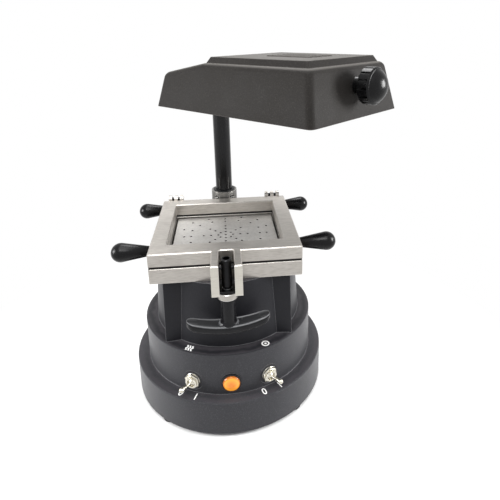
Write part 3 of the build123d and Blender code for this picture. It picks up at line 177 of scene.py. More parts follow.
def copyPiece(piece, name):
    twin = piece.copy()
    twin.data = piece.data.copy()
    twin.name = name
    bpy.context.scene.collection.objects.link(twin)
    return twin


def placePiece(piece, matrix):
    selectOnly(piece)
    piece.matrix_world = matrix
    bpy.ops.object.transform_apply(location=True, rotation=True, scale=True)


def joinPieces(pieces, name):
    clearSelection()
    for piece in pieces:
        piece.select_set(True)
    bpy.context.view_layer.objects.active = pieces[0]
    bpy.ops.object.join()
    pieces[0].name = name
    return pieces[0]


def finishPiece(piece, body, material, replaced=(), smoothAngle=35):
    selectOnly(piece)
    bpy.ops.object.shade_smooth_by_angle(angle=math.radians(smoothAngle))
    piece.data.materials.clear()
    piece.data.materials.append(material)
    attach(piece, body)
    if replaced:
        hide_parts(*replaced)


def moved(place):
    return Matrix.Translation(Vector(place) * mm)


def turned(degrees):
    return Matrix.Rotation(math.radians(degrees), 4, "Z")


def pointAlong(origin, out):
    # a frame that stands at origin and has its +Z along out
    return moved(origin) @ Vector(out).to_track_quat("Z", "Y").to_matrix().to_4x4()


# camera at the photograph's angle, in millimetres and radians

cameraView = {"place": (3.55, -465.5, 379.7), "turn": -0.1079, "down": 0.2927, "roll": -0.0111,
              "lens": 33.59, "shift": (-0.0493, -0.16)}

cameraData = bpy.data.cameras.new("camera")
camera = bpy.data.objects.new("camera", cameraData)
bpy.context.scene.collection.objects.link(camera)
cameraData.sensor_width = 36
cameraData.lens = cameraView["lens"]
cameraData.shift_x, cameraData.shift_y = cameraView["shift"]
cameraData.clip_start, cameraData.clip_end = 0.01, 30
camera.matrix_world = (
    moved(cameraView["place"])
    @ Matrix.Rotation(cameraView["turn"], 4, "Z")
    @ Matrix.Rotation(math.pi / 2 - cameraView["down"], 4, "X")
    @ Matrix.Rotation(cameraView["roll"], 4, "Z")
)
bpy.context.scene.camera = camera
bpy.context.scene.view_settings.view_transform = "Standard"
print("camera set")


# materials

def facingUp(tree):
    # 1 where the surface faces up, 0 where it is upright
    normal = addNode(tree, "NewGeometry").outputs["Normal"]
    return addNode(tree, "SeparateXYZ", links={0: normal}).outputs["Z"]


def edgeMask(tree, radius, reach):
    # 1 on outer and inner edges, 0 on the faces between them
    face = addNode(tree, "NewGeometry")
    rounded = addNode(tree, "Bevel", {"samples": 6, "Radius": radius * mm})
    turn = addNode(tree, "VectorMath", {"operation": "DOT_PRODUCT"}, {0: rounded, 1: face.outputs["Normal"]})
    return addNode(tree, "MapRange", {1: 0.998, 2: 1 - reach, 3: 0.0, 4: 1.0}, {0: turn.outputs["Value"]})


def distanceFrom(tree, place, centre, kept):
    # how far the surface is from centre, along the axes that are kept
    aside = addNode(tree, "VectorMath", {"operation": "SUBTRACT", 1: [c * mm for c in centre]}, {0: place})
    flat = addNode(tree, "VectorMath", {"operation": "MULTIPLY", 1: kept}, {0: aside})
    return addNode(tree, "VectorMath", {"operation": "LENGTH"}, {0: flat}).outputs["Value"]


def layColours(tree, colour, layers):
    # each layer is a mask, and the colour that it lays over what is under it
    for mask, over in layers:
        mix = addNode(tree, "Mix", {"data_type": "RGBA", 7: toLinear(over)}, {0: mask})
        if isinstance(colour, str):
            mix.inputs[6].default_value = toLinear(colour)
        else:
            tree.links.new(colour, mix.inputs[6])
        colour = mix.outputs[2]
    return colour


def paintedMetal(name, look):
    # stove enamel on a casting or pressing: even grit, soft sheen, edges and creases painted a little lighter
    # as a painted highlight, the outer edges partly worn
    # the grit is drawn about three times as coarse as it is, or it wouldn't show
    patchSize, ringSize = 40, 30  # mm
    material, tree, shader, place = startMaterial(name)
    patches = addNode(tree, "TexNoise", {"Scale": 1000 / patchSize, "Detail": 4.0}, {"Vector": place})
    grain = addNode(tree, "TexNoise", {"Scale": 1000 / look["grit"], "Detail": 3.0, "Roughness": 0.6},
                    {"Vector": place})
    specks = addNode(tree, "MapRange", {1: 0.52, 2: 0.80, 3: 0.0, 4: look["specks"]}, {0: grain})
    layers = [(patches, look["light"]), (specks, look["edge"])]
    if "tower" in look:
        # the tower and the ledge round it are painted darker, as painted shade under the frames and the latch
        # handle
        foot = look["tower"]
        high = addNode(tree, "SeparateXYZ", links={0: place}).outputs["Z"]
        tower = addNode(tree, "MapRange", {1: (foot - 0.8) * mm, 2: foot * mm, 3: 0.0, 4: 0.75}, {0: high})
        layers.append((tower, look["towerShade"]))
    if "dustAndTopLight" in look:
        # what faces up is painted paler: a painted top light, and a dusty film
        paledUpward = addNode(tree, "MapRange", {1: 0.75, 2: 0.97, 3: 0.0, 4: 0.6}, {0: facingUp(tree)})
        layers.append((paledUpward, look["dustAndTopLight"]))
    if "brushed" in look:
        # rings left by the brush on the flat ledges, seen only where the surface faces up
        rings = addNode(tree, "TexWave", {"wave_type": "RINGS", "rings_direction": "Z", "Distortion": 3.0,
                                          "Scale": 1000 / ringSize, "Detail": 4.0, "Detail Scale": 3.0},
                        {"Vector": place})
        level = addNode(tree, "MapRange", {1: 0.90, 2: 0.99, 3: 0.0, 4: 0.55}, {0: facingUp(tree)})
        share = addNode(tree, "Math", {"operation": "MULTIPLY"}, {0: rings.outputs["Fac"], 1: level})
        layers.append((share, look["brushed"]))
    # edges and creases are painted lighter: a painted highlight, and on outer edges some worn paint
    layers.append((edgeMask(tree, look["wearAndHighlightReach"], 0.16), look["edge"]))
    rough = addNode(tree, "MapRange", {1: 0.3, 2: 0.7, 3: look["rough"] - 0.05, 4: look["rough"] + 0.07},
                    {0: patches})
    # a satin film shines more where it is seen at a slant
    slant = addNode(tree, "LayerWeight", {"Blend": 0.5}).outputs["Facing"]
    gloss = addNode(tree, "MapRange", {1: 0.35, 2: 0.95, 3: look["gloss"], 4: look["slantGloss"]}, {0: slant})
    rounded = addNode(tree, "Bevel", {"samples": 6, "Radius": look["round"] * mm})
    relief = addNode(tree, "Bump", {"Strength": look["bump"], "Distance": look["grit"] * 0.3 * mm},
                     {"Height": grain, "Normal": rounded})
    linkInputs(tree, shader, {"Base Color": layColours(tree, look["dark"], layers), "Roughness": rough,
                              "Specular IOR Level": gloss, "Normal": relief})
    return material


def machinedMetal(name, look):
    # cut and rubbed metal: the cutter's lines one way, cloudy handling marks, edges painted bright as a
    # painted highlight, the outer edges partly worn bright
    # the lines stand wider apart than real ones, which are too fine to show
    cloudSize, lineDepth = 12, 0.08  # mm
    material, tree, shader, place = startMaterial(name, {"Metallic": 1.0})
    stretch = [1000 / look["line"] / s for s in look["along"]]
    stretched = addNode(tree, "Mapping", {"Scale": stretch}, {"Vector": place})
    lines = addNode(tree, "TexNoise", {"Scale": 1.0, "Detail": 3.0}, {"Vector": stretched})
    clouds = addNode(tree, "TexNoise", {"Scale": 1000 / cloudSize, "Detail": 6.0, "Roughness": 0.65},
                     {"Vector": place})
    scratch = addNode(tree, "MapRange", {1: 0.25, 2: 0.55, 3: look["scratch"], 4: 0.0}, {0: lines})
    layers = [(clouds, look["light"]), (scratch, look["lineColour"])]
    if "hole" in look:
        # the drilled holes' walls see no light
        wall = addNode(tree, "MapRange", {1: 0.2, 2: 0.6, 3: 1.0, 4: 0.0}, {0: facingUp(tree)})
        layers.append((wall, look["hole"]))
    if "collar" in look:
        # the turned collar round the post is darker, and the lugs' sawn ends are creamier
        radius = look["collar"]["radius"]
        away = distanceFrom(tree, place, look["collar"]["centre"], (1, 1, 0))
        near = addNode(tree, "MapRange", {1: radius * mm, 2: (radius + 0.6) * mm, 3: 1.0, 4: 0.0}, {0: away})
        layers.append((near, look["collar"]["colour"]))
        end = look["lug"]["end"]
        back = addNode(tree, "SeparateXYZ", links={0: place}).outputs["Y"]
        sawn = addNode(tree, "MapRange", {1: end * mm, 2: (end - 2) * mm, 3: 0.0, 4: 0.5}, {0: back})
        layers.append((sawn, look["lug"]["colour"]))
    # edges and creases are painted bright: a painted highlight, and on outer edges some worn metal
    layers.append((edgeMask(tree, look["wearAndHighlightReach"], 0.12), look["edge"]))
    if "splitShade" in look:
        # painted shade: a dark band where the two frames meet, on their upright sides between lugs and rear
        # beam, standing for the shadow in the gap
        splitShade = look["splitShade"]
        spot = addNode(tree, "SeparateXYZ", links={0: place})
        above = addNode(tree, "Math", {"operation": "SUBTRACT", 1: splitShade["z"] * mm}, {0: spot.outputs["Z"]})
        apart = addNode(tree, "Math", {"operation": "ABSOLUTE"}, {0: above})
        slope = addNode(tree, "Math", {"operation": "ABSOLUTE"}, {0: facingUp(tree)})
        fade = splitShade["half"] + 0.2
        share = addNode(tree, "MapRange", {1: splitShade["half"] * mm, 2: fade * mm, 3: 1.0, 4: 0.0}, {0: apart})
        for test, limit, value in (("GREATER_THAN", splitShade["front"] * mm, spot.outputs["Y"]),
                                   ("LESS_THAN", splitShade["rear"] * mm, spot.outputs["Y"]),
                                   ("LESS_THAN", 0.8, slope)):
            within = addNode(tree, "Math", {"operation": test, 1: limit}, {0: value})
            share = addNode(tree, "Math", {"operation": "MULTIPLY"}, {0: share, 1: within})
        layers.append((share, splitShade["colour"]))
    rough = addNode(tree, "MapRange", {1: 0.3, 2: 0.7, 3: look["rough"] - 0.05, 4: look["rough"] + 0.06},
                    {0: clouds})
    relief = addNode(tree, "Bump", {"Strength": look["bump"], "Distance": lineDepth * mm}, {"Height": lines})
    linkInputs(tree, shader, {"Base Color": layColours(tree, look["dark"], layers), "Roughness": rough,
                              "Normal": relief})
    return material


def mouldedResin(name, look):
    # pressed or moulded resin, rubber or clay: a faint cloud in the colour, slow waves left by the mould
    wipeSize, waveDepth = 18, 0.3  # mm
    settings = {"Specular IOR Level": look["gloss"]}
    if "lens" in look:
        # clear acrylic: a glossy skin, and light that comes through it
        settings.update({"Coat Weight": look["lens"]["coat"], "Coat Roughness": 0.06,
                         "Emission Color": toLinear(look["lens"]["glow"]), "Emission Strength": 0.15})
    material, tree, shader, place = startMaterial(name, settings)
    waves = addNode(tree, "TexNoise", {"Scale": 1000 / look["wave"], "Detail": 1.5}, {"Vector": place})
    wipes = addNode(tree, "TexNoise", {"Scale": 1000 / wipeSize, "Detail": 2.0}, {"Vector": place})
    layers = [(waves, look["light"])]
    if "lens" in look:
        # the lens is painted paler in a ring, as painted light on its dome, and its rim is painted dark as
        # painted shade from the bezel
        away = distanceFrom(tree, place, look["lens"]["centre"], (1, 0, 1))
        for inner, outer, share, colour in look["lens"]["rings"]:
            ring = addNode(tree, "MapRange", {1: inner * mm, 2: outer * mm, 3: 0.0, 4: share}, {0: away})
            layers.append((ring, colour))
    # edges and creases are painted lighter: a painted highlight, and on outer edges some worn surface
    layers.append((edgeMask(tree, look["wearAndHighlightReach"], 0.2), look["edge"]))
    if "rollHighlight" in look:
        # painted highlight: the curved rims, where the surface faces up at a slant, are painted paler than
        # the flats
        up = facingUp(tree)
        rise = addNode(tree, "MapRange", {1: 0.42, 2: 0.66, 3: 0.0, 4: 1.0}, {0: up})
        fall = addNode(tree, "MapRange", {1: 0.80, 2: 0.95, 3: 1.0, 4: 0.22}, {0: up})
        rollHighlightMask = addNode(tree, "Math", {"operation": "MULTIPLY"}, {0: rise, 1: fall})
        layers.append((rollHighlightMask, look["rollHighlight"]))
    rough = addNode(tree, "MapRange", {1: 0.3, 2: 0.7, 3: look["rough"] - 0.04, 4: look["rough"] + 0.05},
                    {0: wipes})
    relief = addNode(tree, "Bump", {"Strength": look["bump"], "Distance": waveDepth * mm}, {"Height": waves})
    linkInputs(tree, shader, {"Base Color": layColours(tree, look["dark"], layers), "Roughness": rough,
                              "Normal": relief})
    return material


# thick charcoal enamel brushed over a casting: satin, with edges painted pale as a painted highlight, partly
# worn
basePaint = paintedMetal("enamelledCastAluminium", {
    "dark": "#303033", "light": "#3a3a3d", "edge": "#77777a", "specks": 0.25, "brushed": "#454246",
    "grit": 0.9, "gloss": 0.12, "slantGloss": 0.75, "rough": 0.46, "wearAndHighlightReach": 0.8, "bump": 0.3, "round": 2.2,
    # above the step the enamel is painted darker, as painted shade
    "tower": 84.3, "towerShade": "#17171b"})
# the same enamel, browner, sprayed on pressed steel: matt and grainy, painted paler where it faces up as a
# painted top light
headPaint = paintedMetal("enamelledSteelCover", {
    "dark": "#1f1d1c", "light": "#292725", "edge": "#625e5b", "specks": 0.22, "dustAndTopLight": "#6b6864",
    "grit": 1.0, "gloss": 0.10, "slantGloss": 0.14, "rough": 0.56, "wearAndHighlightReach": 1.4, "bump": 0.5, "round": 1.5})
# gloss black on a drawn tube: smooth, with narrow streaks of light
postPaint = paintedMetal("glossEnamelledTube", {
    "dark": "#0d0d0e", "light": "#151516", "edge": "#2c2c2d", "specks": 0.1,
    "grit": 1.6, "gloss": 0.25, "slantGloss": 0.5, "rough": 0.2, "wearAndHighlightReach": 0.5, "bump": 0.08, "round": 0.5})
# milled and rubbed by hand: warm grey, fine lines along the cut, edges painted bright as a painted highlight,
# and painted shade where the frames meet
frameMetal = machinedMetal("milledAluminium", {
    "dark": "#a7a29c", "light": "#c2beb8", "lineColour": "#85807b", "edge": "#ebe8e2", "scratch": 0.5,
    "along": (10, 1, 1), "line": 0.8, "rough": 0.42, "wearAndHighlightReach": 0.45, "bump": 0.10,
    "collar": {"centre": (0, 94, 0), "radius": 16.2, "colour": "#7d7c7a"},
    "lug": {"end": -94.5, "colour": "#d9d6ca"},
    "splitShade": {"z": 167.95, "half": 1.15, "front": -67.5, "rear": 76.5, "colour": "#141312"}})
# faced on a lathe: smoother than the frames, with its rim painted bright as a painted highlight
washerMetal = machinedMetal("facedAluminium", {
    "dark": "#a39f99", "light": "#bdb9b2", "lineColour": "#8a857f", "edge": "#ffffff", "scratch": 0.3,
    "along": (1, 1, 4), "line": 0.7, "rough": 0.32, "wearAndHighlightReach": 1.0, "bump": 0.05})
# rubbed flat on emery: pale and matt, with black holes
tableMetal = machinedMetal("rubbedAluminiumPlate", {
    "dark": "#aeaca9", "light": "#d0cecb", "lineColour": "#9a9792", "edge": "#dddbd8", "scratch": 0.35,
    "along": (2, 2, 1), "line": 1.2, "rough": 0.6, "wearAndHighlightReach": 0.4, "bump": 0.05, "hole": "#050505"})
# turned and left bare: fine rings and a soft shine
rawMetal = machinedMetal("turnedAluminium", {
    "dark": "#a9a8a5", "light": "#c0bfbc", "lineColour": "#8b8a88", "edge": "#e2e1df", "scratch": 0.4,
    "along": (1, 1, 4), "line": 0.7, "rough": 0.36, "wearAndHighlightReach": 0.5, "bump": 0.10})
# polished sheet: bright, almost a mirror
mirrorMetal = machinedMetal("polishedAluminiumSheet", {
    "dark": "#cbcac7", "light": "#dbdad7", "lineColour": "#b2b1ae", "edge": "#f0efed", "scratch": 0.2,
    "along": (8, 1, 1), "line": 1.2, "rough": 0.18, "wearAndHighlightReach": 0.5, "bump": 0.04})
# zinc plate on pressed or turned steel: cool grey, dull shine
zincSteel = machinedMetal("zincPlatedSteel", {
    "dark": "#9b9da0", "light": "#b4b6b8", "lineColour": "#828486", "edge": "#d5d6d8", "scratch": 0.3,
    "along": (6, 1, 1), "line": 0.8, "rough": 0.36, "wearAndHighlightReach": 0.4, "bump": 0.08})
# steel blackened in oil: near black, with a painted highlight along its edges
darkSteel = machinedMetal("blackenedSteel", {
    "dark": "#202021", "light": "#2d2d2e", "lineColour": "#161617", "edge": "#5c5c5e", "scratch": 0.4,
    "along": (1, 1, 5), "line": 0.7, "rough": 0.36, "wearAndHighlightReach": 0.4, "bump": 0.08})
# nickel on turned brass: warm white, glossy
nickelPlate = machinedMetal("nickelPlatedBrass", {
    "dark": "#bdb8aa", "light": "#d8d4c7", "lineColour": "#938d80", "edge": "#ffffff", "scratch": 0.25,
    "along": (2, 2, 2), "line": 0.9, "rough": 0.3, "wearAndHighlightReach": 0.35, "bump": 0.03})
# phenolic pressed in a polished mould: black, with small sharp highlights
blackResin = mouldedResin("pressedPhenolicResin", {
    "dark": "#09090a", "light": "#0e0e0f", "edge": "#1a1a1b",
    "gloss": 0.18, "wave": 9, "rough": 0.26, "bump": 0.05, "wearAndHighlightReach": 0.5})
# the same phenolic with painted highlights: its curved rims and edges are painted grey
rimHighlightResin = mouldedResin("phenolicResinRimHighlights", {
    "dark": "#0f0f11", "light": "#18181a", "edge": "#505155", "rollHighlight": "#68696b",
    "gloss": 0.18, "wave": 9, "rough": 0.24, "bump": 0.05, "wearAndHighlightReach": 0.7})
# moulded nylon: black, satin, finely pebbled
blackNylon = mouldedResin("mouldedBlackNylon", {
    "dark": "#131314", "light": "#1b1b1c", "edge": "#2c2c2d",
    "gloss": 0.3, "wave": 2.5, "rough": 0.5, "bump": 0.15, "wearAndHighlightReach": 0.5})
# moulded nylon without dye: milky and satin
paleNylon = mouldedResin("mouldedPaleNylon", {
    "dark": "#d9d6cc", "light": "#e3e0d7", "edge": "#f0eee8",
    "gloss": 0.4, "wave": 3, "rough": 0.5, "bump": 0.1, "wearAndHighlightReach": 0.5})
# unglazed fired clay: off-white and dry
firedCeramic = mouldedResin("firedCeramic", {
    "dark": "#d8d4ca", "light": "#e6e2d8", "edge": "#efece4",
    "gloss": 0.3, "wave": 1.5, "rough": 0.7, "bump": 0.2, "wearAndHighlightReach": 0.5})
# moulded rubber: black and quite dull
softRubber = mouldedResin("mouldedRubber", {
    "dark": "#0f0f10", "light": "#19191a", "edge": "#2a2a2b",
    "gloss": 0.2, "wave": 1.6, "rough": 0.72, "bump": 0.2, "wearAndHighlightReach": 0.5})
# moulded clear acrylic over a lamp: orange, glossy, lit from behind
amberAcrylic = mouldedResin("mouldedAmberAcrylic", {
    "dark": "#d2701a", "light": "#e08a2c", "edge": "#f2a94e",
    "gloss": 0.4, "wave": 3.5, "rough": 0.22, "bump": 0.6, "wearAndHighlightReach": 0.5,
    "lens": {"centre": (0, 0, 53), "rings": [(2.0, 6.2, 0.85, "#f3a43c"), (6.6, 8.1, 0.9, "#8a3f0c")],
             "coat": 0.1, "glow": "#e8861c"}})
# ink screened on the paint: flat white
whiteInk = mouldedResin("screenedWhiteInk", {
    "dark": "#e9e9e7", "light": "#f4f4f2", "edge": "#f8f8f6",
    "gloss": 0.3, "wave": 1, "rough": 0.6, "bump": 0.05, "wearAndHighlightReach": 0.5})
print("materials made")

cadFinishes = [
    (basePaint, ["base_shell"]),
    (headPaint, ["heater_cover"]),
    (postPaint, ["heater_post"]),
    (frameMetal, ["lower_frame", "upper_frame"]),
    (washerMetal, ["latch_washer"]),
    (tableMetal, ["vacuum_table"]),
    (rawMetal, ["suction_fan", "head_hub", "table_plenum"]),
    (mirrorMetal, ["reflector"]),
    (zincSteel, ["base_pan", "pan_screws", "motor_can", "turbine_housing", "clamp_ring", "clamp_bolts",
                 "table_screws", "rear_studs", "front_studs", "latch_screw", "bottom_plate", "guard_grille",
                 "hub_screws", "plate_screws", "knob_stud"]),
    (darkSteel, ["motor_bearings", "motor_stator", "motor_shaft", "post_screw", "thrust_collar", "hinge_pins",
                 "key_screw", "latch_pin", "latch_barrel", "latch_keeper", "heating_element"]),
    (nickelPlate, ["toggle_bodies", "toggle_nuts", "toggle_lever_left", "toggle_lever_right"]),
    (blackResin, ["front_grips", "rear_grips", "head_knob"]),
    (rimHighlightResin, ["latch_handle"]),
    (blackNylon, ["lamp_body", "lamp_bezel", "cable_gland", "fuse_holder", "collar_bush"]),
    (paleNylon, ["terminal_block"]),
    (firedCeramic, ["element_posts"]),
    (softRubber, ["rubber_feet", "turbine_gasket", "plenum_gasket", "lower_gasket", "upper_gasket"]),
    (amberAcrylic, ["lamp_lens"]),
]
for material, nodeNames in cadFinishes:
    for nodeName in nodeNames:
        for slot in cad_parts[nodeName].material_slots:
            slot.material = material
print("CAD nodes finished")


# grips at both sides of the frames

grip = {"length": 37, "rootRadius": 4.9, "rootEdge": 0.7, "ballRadius": 9.4, "tip": 0.5, "rings": 13,
        "sides": 40, "front": (73, -44, 175.35), "rear": (71, 104, 159.45)}

ballHeight = grip["length"] - grip["ballRadius"]
slantLength = math.hypot(ballHeight, grip["rootRadius"])
touch = math.atan2(grip["rootRadius"], -ballHeight) - math.acos(grip["ballRadius"] / slantLength)
outline = [(grip["rootRadius"] - grip["rootEdge"], 0), (grip["rootRadius"], grip["rootEdge"])]
for step in range(grip["rings"]):  # from where the cone touches the ball, over the ball
    angle = touch * (1 - step / grip["rings"])
    outline.append((grip["ballRadius"] * math.sin(angle), ballHeight + grip["ballRadius"] * math.cos(angle)))
outline.append((grip["tip"], grip["length"]))
pearGrip = turnedPiece("pearGrip", outline, grip["sides"])
for row, body, node in (("front", "upper_frame", "front_grips"), ("rear", "carriage", "rear_grips")):
    x, y, z = grip[row]
    pair = []
    for side, word in ((-1, "Left"), (1, "Right")):
        twin = copyPiece(pearGrip, row + "Grip" + word)
        placePiece(twin, pointAlong((side * x, y, z), (side, 0, 0)))
        pair.append(twin)
    finishPiece(joinPieces(pair, row + "Grips"), body, blackResin, [node], 40)
bpy.data.objects.remove(pearGrip)
print("grips made")


# latch handle: a boat-shaped bar with a dished top, on a round boss whose foot flares into the bar

tee = {"place": (0, -85.5, 0), "turn": 3.5, "halfSpan": 39, "halfDepth": 8.5, "endDepth": 7.2,
       "tipDepth": 1.6, "thick": 8.8, "endThin": 0.9, "lift": 7.5, "roll": 2.8, "rim": 0.9, "dish": 0.9,
       "columns": 28, "wingTop": 118.1}
boss = {"radius": 7.4, "top": 145.1, "edge": 0.6, "sunk": 3.2, "foot": 8.2, "squeeze": 0.6, "sides": 56,
        "flare": [(2.4, 0), (2.3, 2.4), (1.8, 3.3), (1.0, 4.0), (0.4, 4.8), (0.1, 6.0)]}

wings = boxPiece("wings", (2 * tee["halfSpan"], 2 * tee["halfDepth"], tee["thick"]),
                 (0, 0, tee["wingTop"] - tee["thick"] / 2))
pickEdges(lambda a, b, normals: abs(a.x - b.x) > 10)
bpy.ops.mesh.bevel(offset=tee["roll"] * mm, segments=6, affect="EDGES")
pickFaces(lambda p, n: n.z > 0.999)
bpy.ops.mesh.inset(thickness=tee["rim"] * mm)
bpy.ops.transform.translate(value=(0, 0, -tee["dish"] * mm))
pickEdges(lambda a, b, normals: abs(a.x - b.x) > 10)
bpy.ops.mesh.subdivide(number_cuts=tee["columns"] - 1)
half = tee["columns"] // 2
roundEnd = tee["halfSpan"] - tee["endDepth"]
for i in range(half, 0, -1):  # from the tips inwards; columns crowd towards the round tips
    for side in (-1, 1):
        oldX = side * tee["halfSpan"] * i / half
        newX = side * tee["halfSpan"] * math.sin(math.pi / 2 * i / half)
        if abs(newX) < roundEnd:
            depth = tee["endDepth"] + (tee["halfDepth"] - tee["endDepth"]) * (1 - (newX / roundEnd) ** 2)
        else:
            depth = math.sqrt(max(0, tee["endDepth"] ** 2 - (abs(newX) - roundEnd) ** 2))
            depth = max(tee["tipDepth"], depth)
        share = abs(newX) / tee["halfSpan"]
        tall = 1 - (1 - tee["endThin"]) * share ** 2
        tall = tall * min(1, 0.55 + 0.45 * depth / tee["endDepth"])  # the tips round off in height too
        pickPoints(lambda p: abs(p.x - oldX) < 1.0)
        bpy.ops.transform.resize(value=(1, depth / tee["halfDepth"], tall))
        bpy.ops.transform.translate(value=((newX - oldX) * mm, 0, tee["lift"] * share ** 2 * mm))

low = tee["wingTop"] - boss["sunk"]
outline = [(boss["radius"] + out, low + up) for out, up in boss["flare"]]
outline += [(boss["radius"], low + boss["foot"]), (boss["radius"], boss["top"] - boss["edge"]),
            (boss["radius"] - boss["edge"], boss["top"])]
bossPiece = turnedPiece("boss", outline, boss["sides"])
bpy.ops.object.mode_set(mode="EDIT")
for radius, height in outline[:5]:  # the flare runs out along the wings, and less at front and back
    pickPoints(lambda p: abs(p.z - height) < 0.1)
    bpy.ops.transform.resize(value=(1, min(1, (boss["radius"] + boss["squeeze"]) / radius), 1))
bpy.ops.object.mode_set(mode="OBJECT")
latchHandle = joinPieces([wings, bossPiece], "latchHandle")
placePiece(latchHandle, moved(tee["place"]) @ turned(tee["turn"]))
finishPiece(latchHandle, "latch_handle", rimHighlightResin, ["latch_handle"], 40)
print("latch handle made")


# heater head: cover, vent bars and knob

head = {"post": (0, 94, 0), "turn": 42.4 - 90, "length": 216, "width": 148, "rear": 24.9, "rim": 300,
        "top": 348, "rearDrop": 12, "slope": 70, "draft": 12, "corner": 7, "roofEdge": 5.5, "wall": 2.5}
deck = {"rise": 6, "lean": 3.4, "edge": 2.2, "length": 130, "width": 118, "margin": 0.5}
bars = {"count": 5, "pitch": 8, "length": 56, "width": 3.6, "rise": 1.2, "sunk": 0.2, "endGap": 34,
        "edge": 0.4}

headPlace = moved(head["post"]) @ turned(head["turn"])  # a turn of -90 is straight over the table
height = head["top"] - head["rim"]
draftRise = math.tan(math.radians(head["draft"]))  # how far a wall leans in for each millimetre up
lean = height * draftRise
dropBack = head["rearDrop"] * draftRise
front = head["length"] - head["rear"]
kneeX = head["slope"] - head["rear"]
roofLow = head["top"] - head["rearDrop"]

headCover = boxPiece("headCover", (head["length"], head["width"], height),
                     ((front - head["rear"]) / 2, 0, head["rim"] + height / 2))
pickFaces(lambda p, n: n.z > 0.9)
bpy.ops.transform.resize(value=(1 - 2 * lean / head["length"], 1 - 2 * lean / head["width"], 1))
bpy.ops.mesh.select_all(action="SELECT")
bpy.ops.mesh.bisect(plane_co=(kneeX * mm, 0, 0), plane_no=(1, 0, 0), use_fill=False)
pickPoints(lambda p: p.z > head["top"] - 1 and p.x < 0)  # the roof slopes down from the knee to the rear
bpy.ops.transform.translate(value=(-dropBack * mm, 0, -head["rearDrop"] * mm))
bpy.ops.transform.resize(value=(1, 1 + 2 * dropBack / (head["width"] - 2 * lean), 1))
pickFaces(lambda p, n: n.z < -0.9)
bpy.ops.mesh.delete(type="FACE")
pickEdges(lambda a, b, normals: abs(a.z - b.z) > 20 and abs(a.x - kneeX) > 10)  # the four upright corners
bpy.ops.mesh.bevel(offset=head["corner"] * mm, segments=7, affect="EDGES")
pickEdges(lambda a, b, normals: min(a.z, b.z) > roofLow - 6 and len(normals) == 2
          and max(n.z for n in normals) > 0.9 and min(n.z for n in normals) < 0.5)
bpy.ops.mesh.bevel(offset=head["roofEdge"] * mm, segments=5, affect="EDGES")
pickFaces(lambda p, n: n.z > 0.995 and p.z > head["top"] - 0.2 and p.x > kneeX)
bpy.ops.mesh.inset(thickness=deck["margin"] * mm)
extrudeUp(deck["rise"])
bpy.ops.transform.resize(value=(1 - 2 * deck["lean"] / deck["length"],
                                1 - 2 * deck["lean"] / deck["width"], 1))
bpy.ops.object.mode_set(mode="OBJECT")
applyModifier(headCover, "SOLIDIFY", thickness=head["wall"] * mm, offset=-1)
applyModifier(headCover, "BEVEL", width=deck["edge"] * mm, segments=3, limit_method="ANGLE",
              angle_limit=math.radians(50))

deckTop = head["top"] + deck["rise"]
barX = front - lean - bars["endGap"] - bars["length"] / 2
barPieces = []
for i in range(bars["count"]):
    y = (i - (bars["count"] - 1) / 2) * bars["pitch"]
    bar = boxPiece("bar", (bars["length"], bars["width"], bars["rise"]),
                   (barX, y, deckTop + bars["rise"] / 2 - bars["sunk"]))
    pickEdges(lambda a, b, normals: abs(a.z - b.z) > 0.5)
    # almost half the width, which leaves round ends
    bpy.ops.mesh.bevel(offset=bars["width"] * 0.49 * mm, segments=6, affect="EDGES")
    pickEdges(lambda a, b, normals: min(a.z, b.z) > deckTop + 0.6)
    bpy.ops.mesh.bevel(offset=bars["edge"] * mm, segments=2, affect="EDGES")
    barPieces.append(bar)
    bpy.ops.object.mode_set(mode="OBJECT")
headCover = joinPieces([headCover] + barPieces, "headCover")
placePiece(headCover, headPlace)
finishPiece(headCover, "heater_head", headPaint, ["heater_cover"], 30)
print("head cover made")

knob = {"z": 330.3, "gap": 0.2, "neckRadius": 8, "neck": 9.7, "radius": 17, "skirt": 12, "capRadius": 15.2,
        "dome": 8.3, "sides": 84, "flutes": 14, "fluteRim": 0.35, "fluteDepth": 1.5, "edge": 0.3}

faceX = front - (knob["z"] - head["rim"]) * draftRise
seatX = faceX + knob["neckRadius"] * draftRise + knob["gap"]  # on its stud, just clear of the sloping wall
skirtLow = knob["neck"]
skirtTop = skirtLow + knob["skirt"]
outline = [(knob["neckRadius"] - 0.5, 0), (knob["neckRadius"], 0.5), (knob["neckRadius"], skirtLow - 1.2),
           (knob["neckRadius"] + 1.4, skirtLow), (knob["radius"] - 1.0, skirtLow),
           (knob["radius"], skirtLow + 1.0), (knob["radius"], skirtTop - 1.6),
           (knob["capRadius"] + 0.6, skirtTop)]
sphere = (knob["capRadius"] ** 2 + knob["dome"] ** 2) / (2 * knob["dome"])
for step in range(9):
    angle = math.asin(knob["capRadius"] / sphere) * (1 - step / 9)
    outline.append((sphere * math.sin(angle), skirtTop + knob["dome"] - sphere + sphere * math.cos(angle)))
outline.append((0.6, skirtTop + knob["dome"]))
headKnob = turnedPiece("headKnob", outline, knob["sides"])
bpy.ops.object.mode_set(mode="EDIT")
facesEach = knob["sides"] // knob["flutes"]  # six, of which two are sunk as a flute
pickFaces(lambda p, n: abs(n.z) < 0.2 and skirtLow + 1 < p.z < skirtTop - 1.6
          and faceRound(p, knob["sides"]) % facesEach < 2)
bpy.ops.mesh.inset(thickness=knob["fluteRim"] * mm, use_boundary=True)
bpy.ops.mesh.extrude_region_shrink_fatten(TRANSFORM_OT_shrink_fatten={"value": -knob["fluteDepth"] * mm})
bpy.ops.object.mode_set(mode="OBJECT")
applyModifier(headKnob, "BEVEL", width=knob["edge"] * mm, segments=2, limit_method="ANGLE",
              angle_limit=math.radians(45))
placePiece(headKnob, headPlace @ pointAlong((seatX, 0, knob["z"]), (1, 0, 0)))
finishPiece(headKnob, "heater_head", blackResin, ["head_knob"], 35)
print("head knob made")


# toggle switches and the lamp, on the upper step's round wall

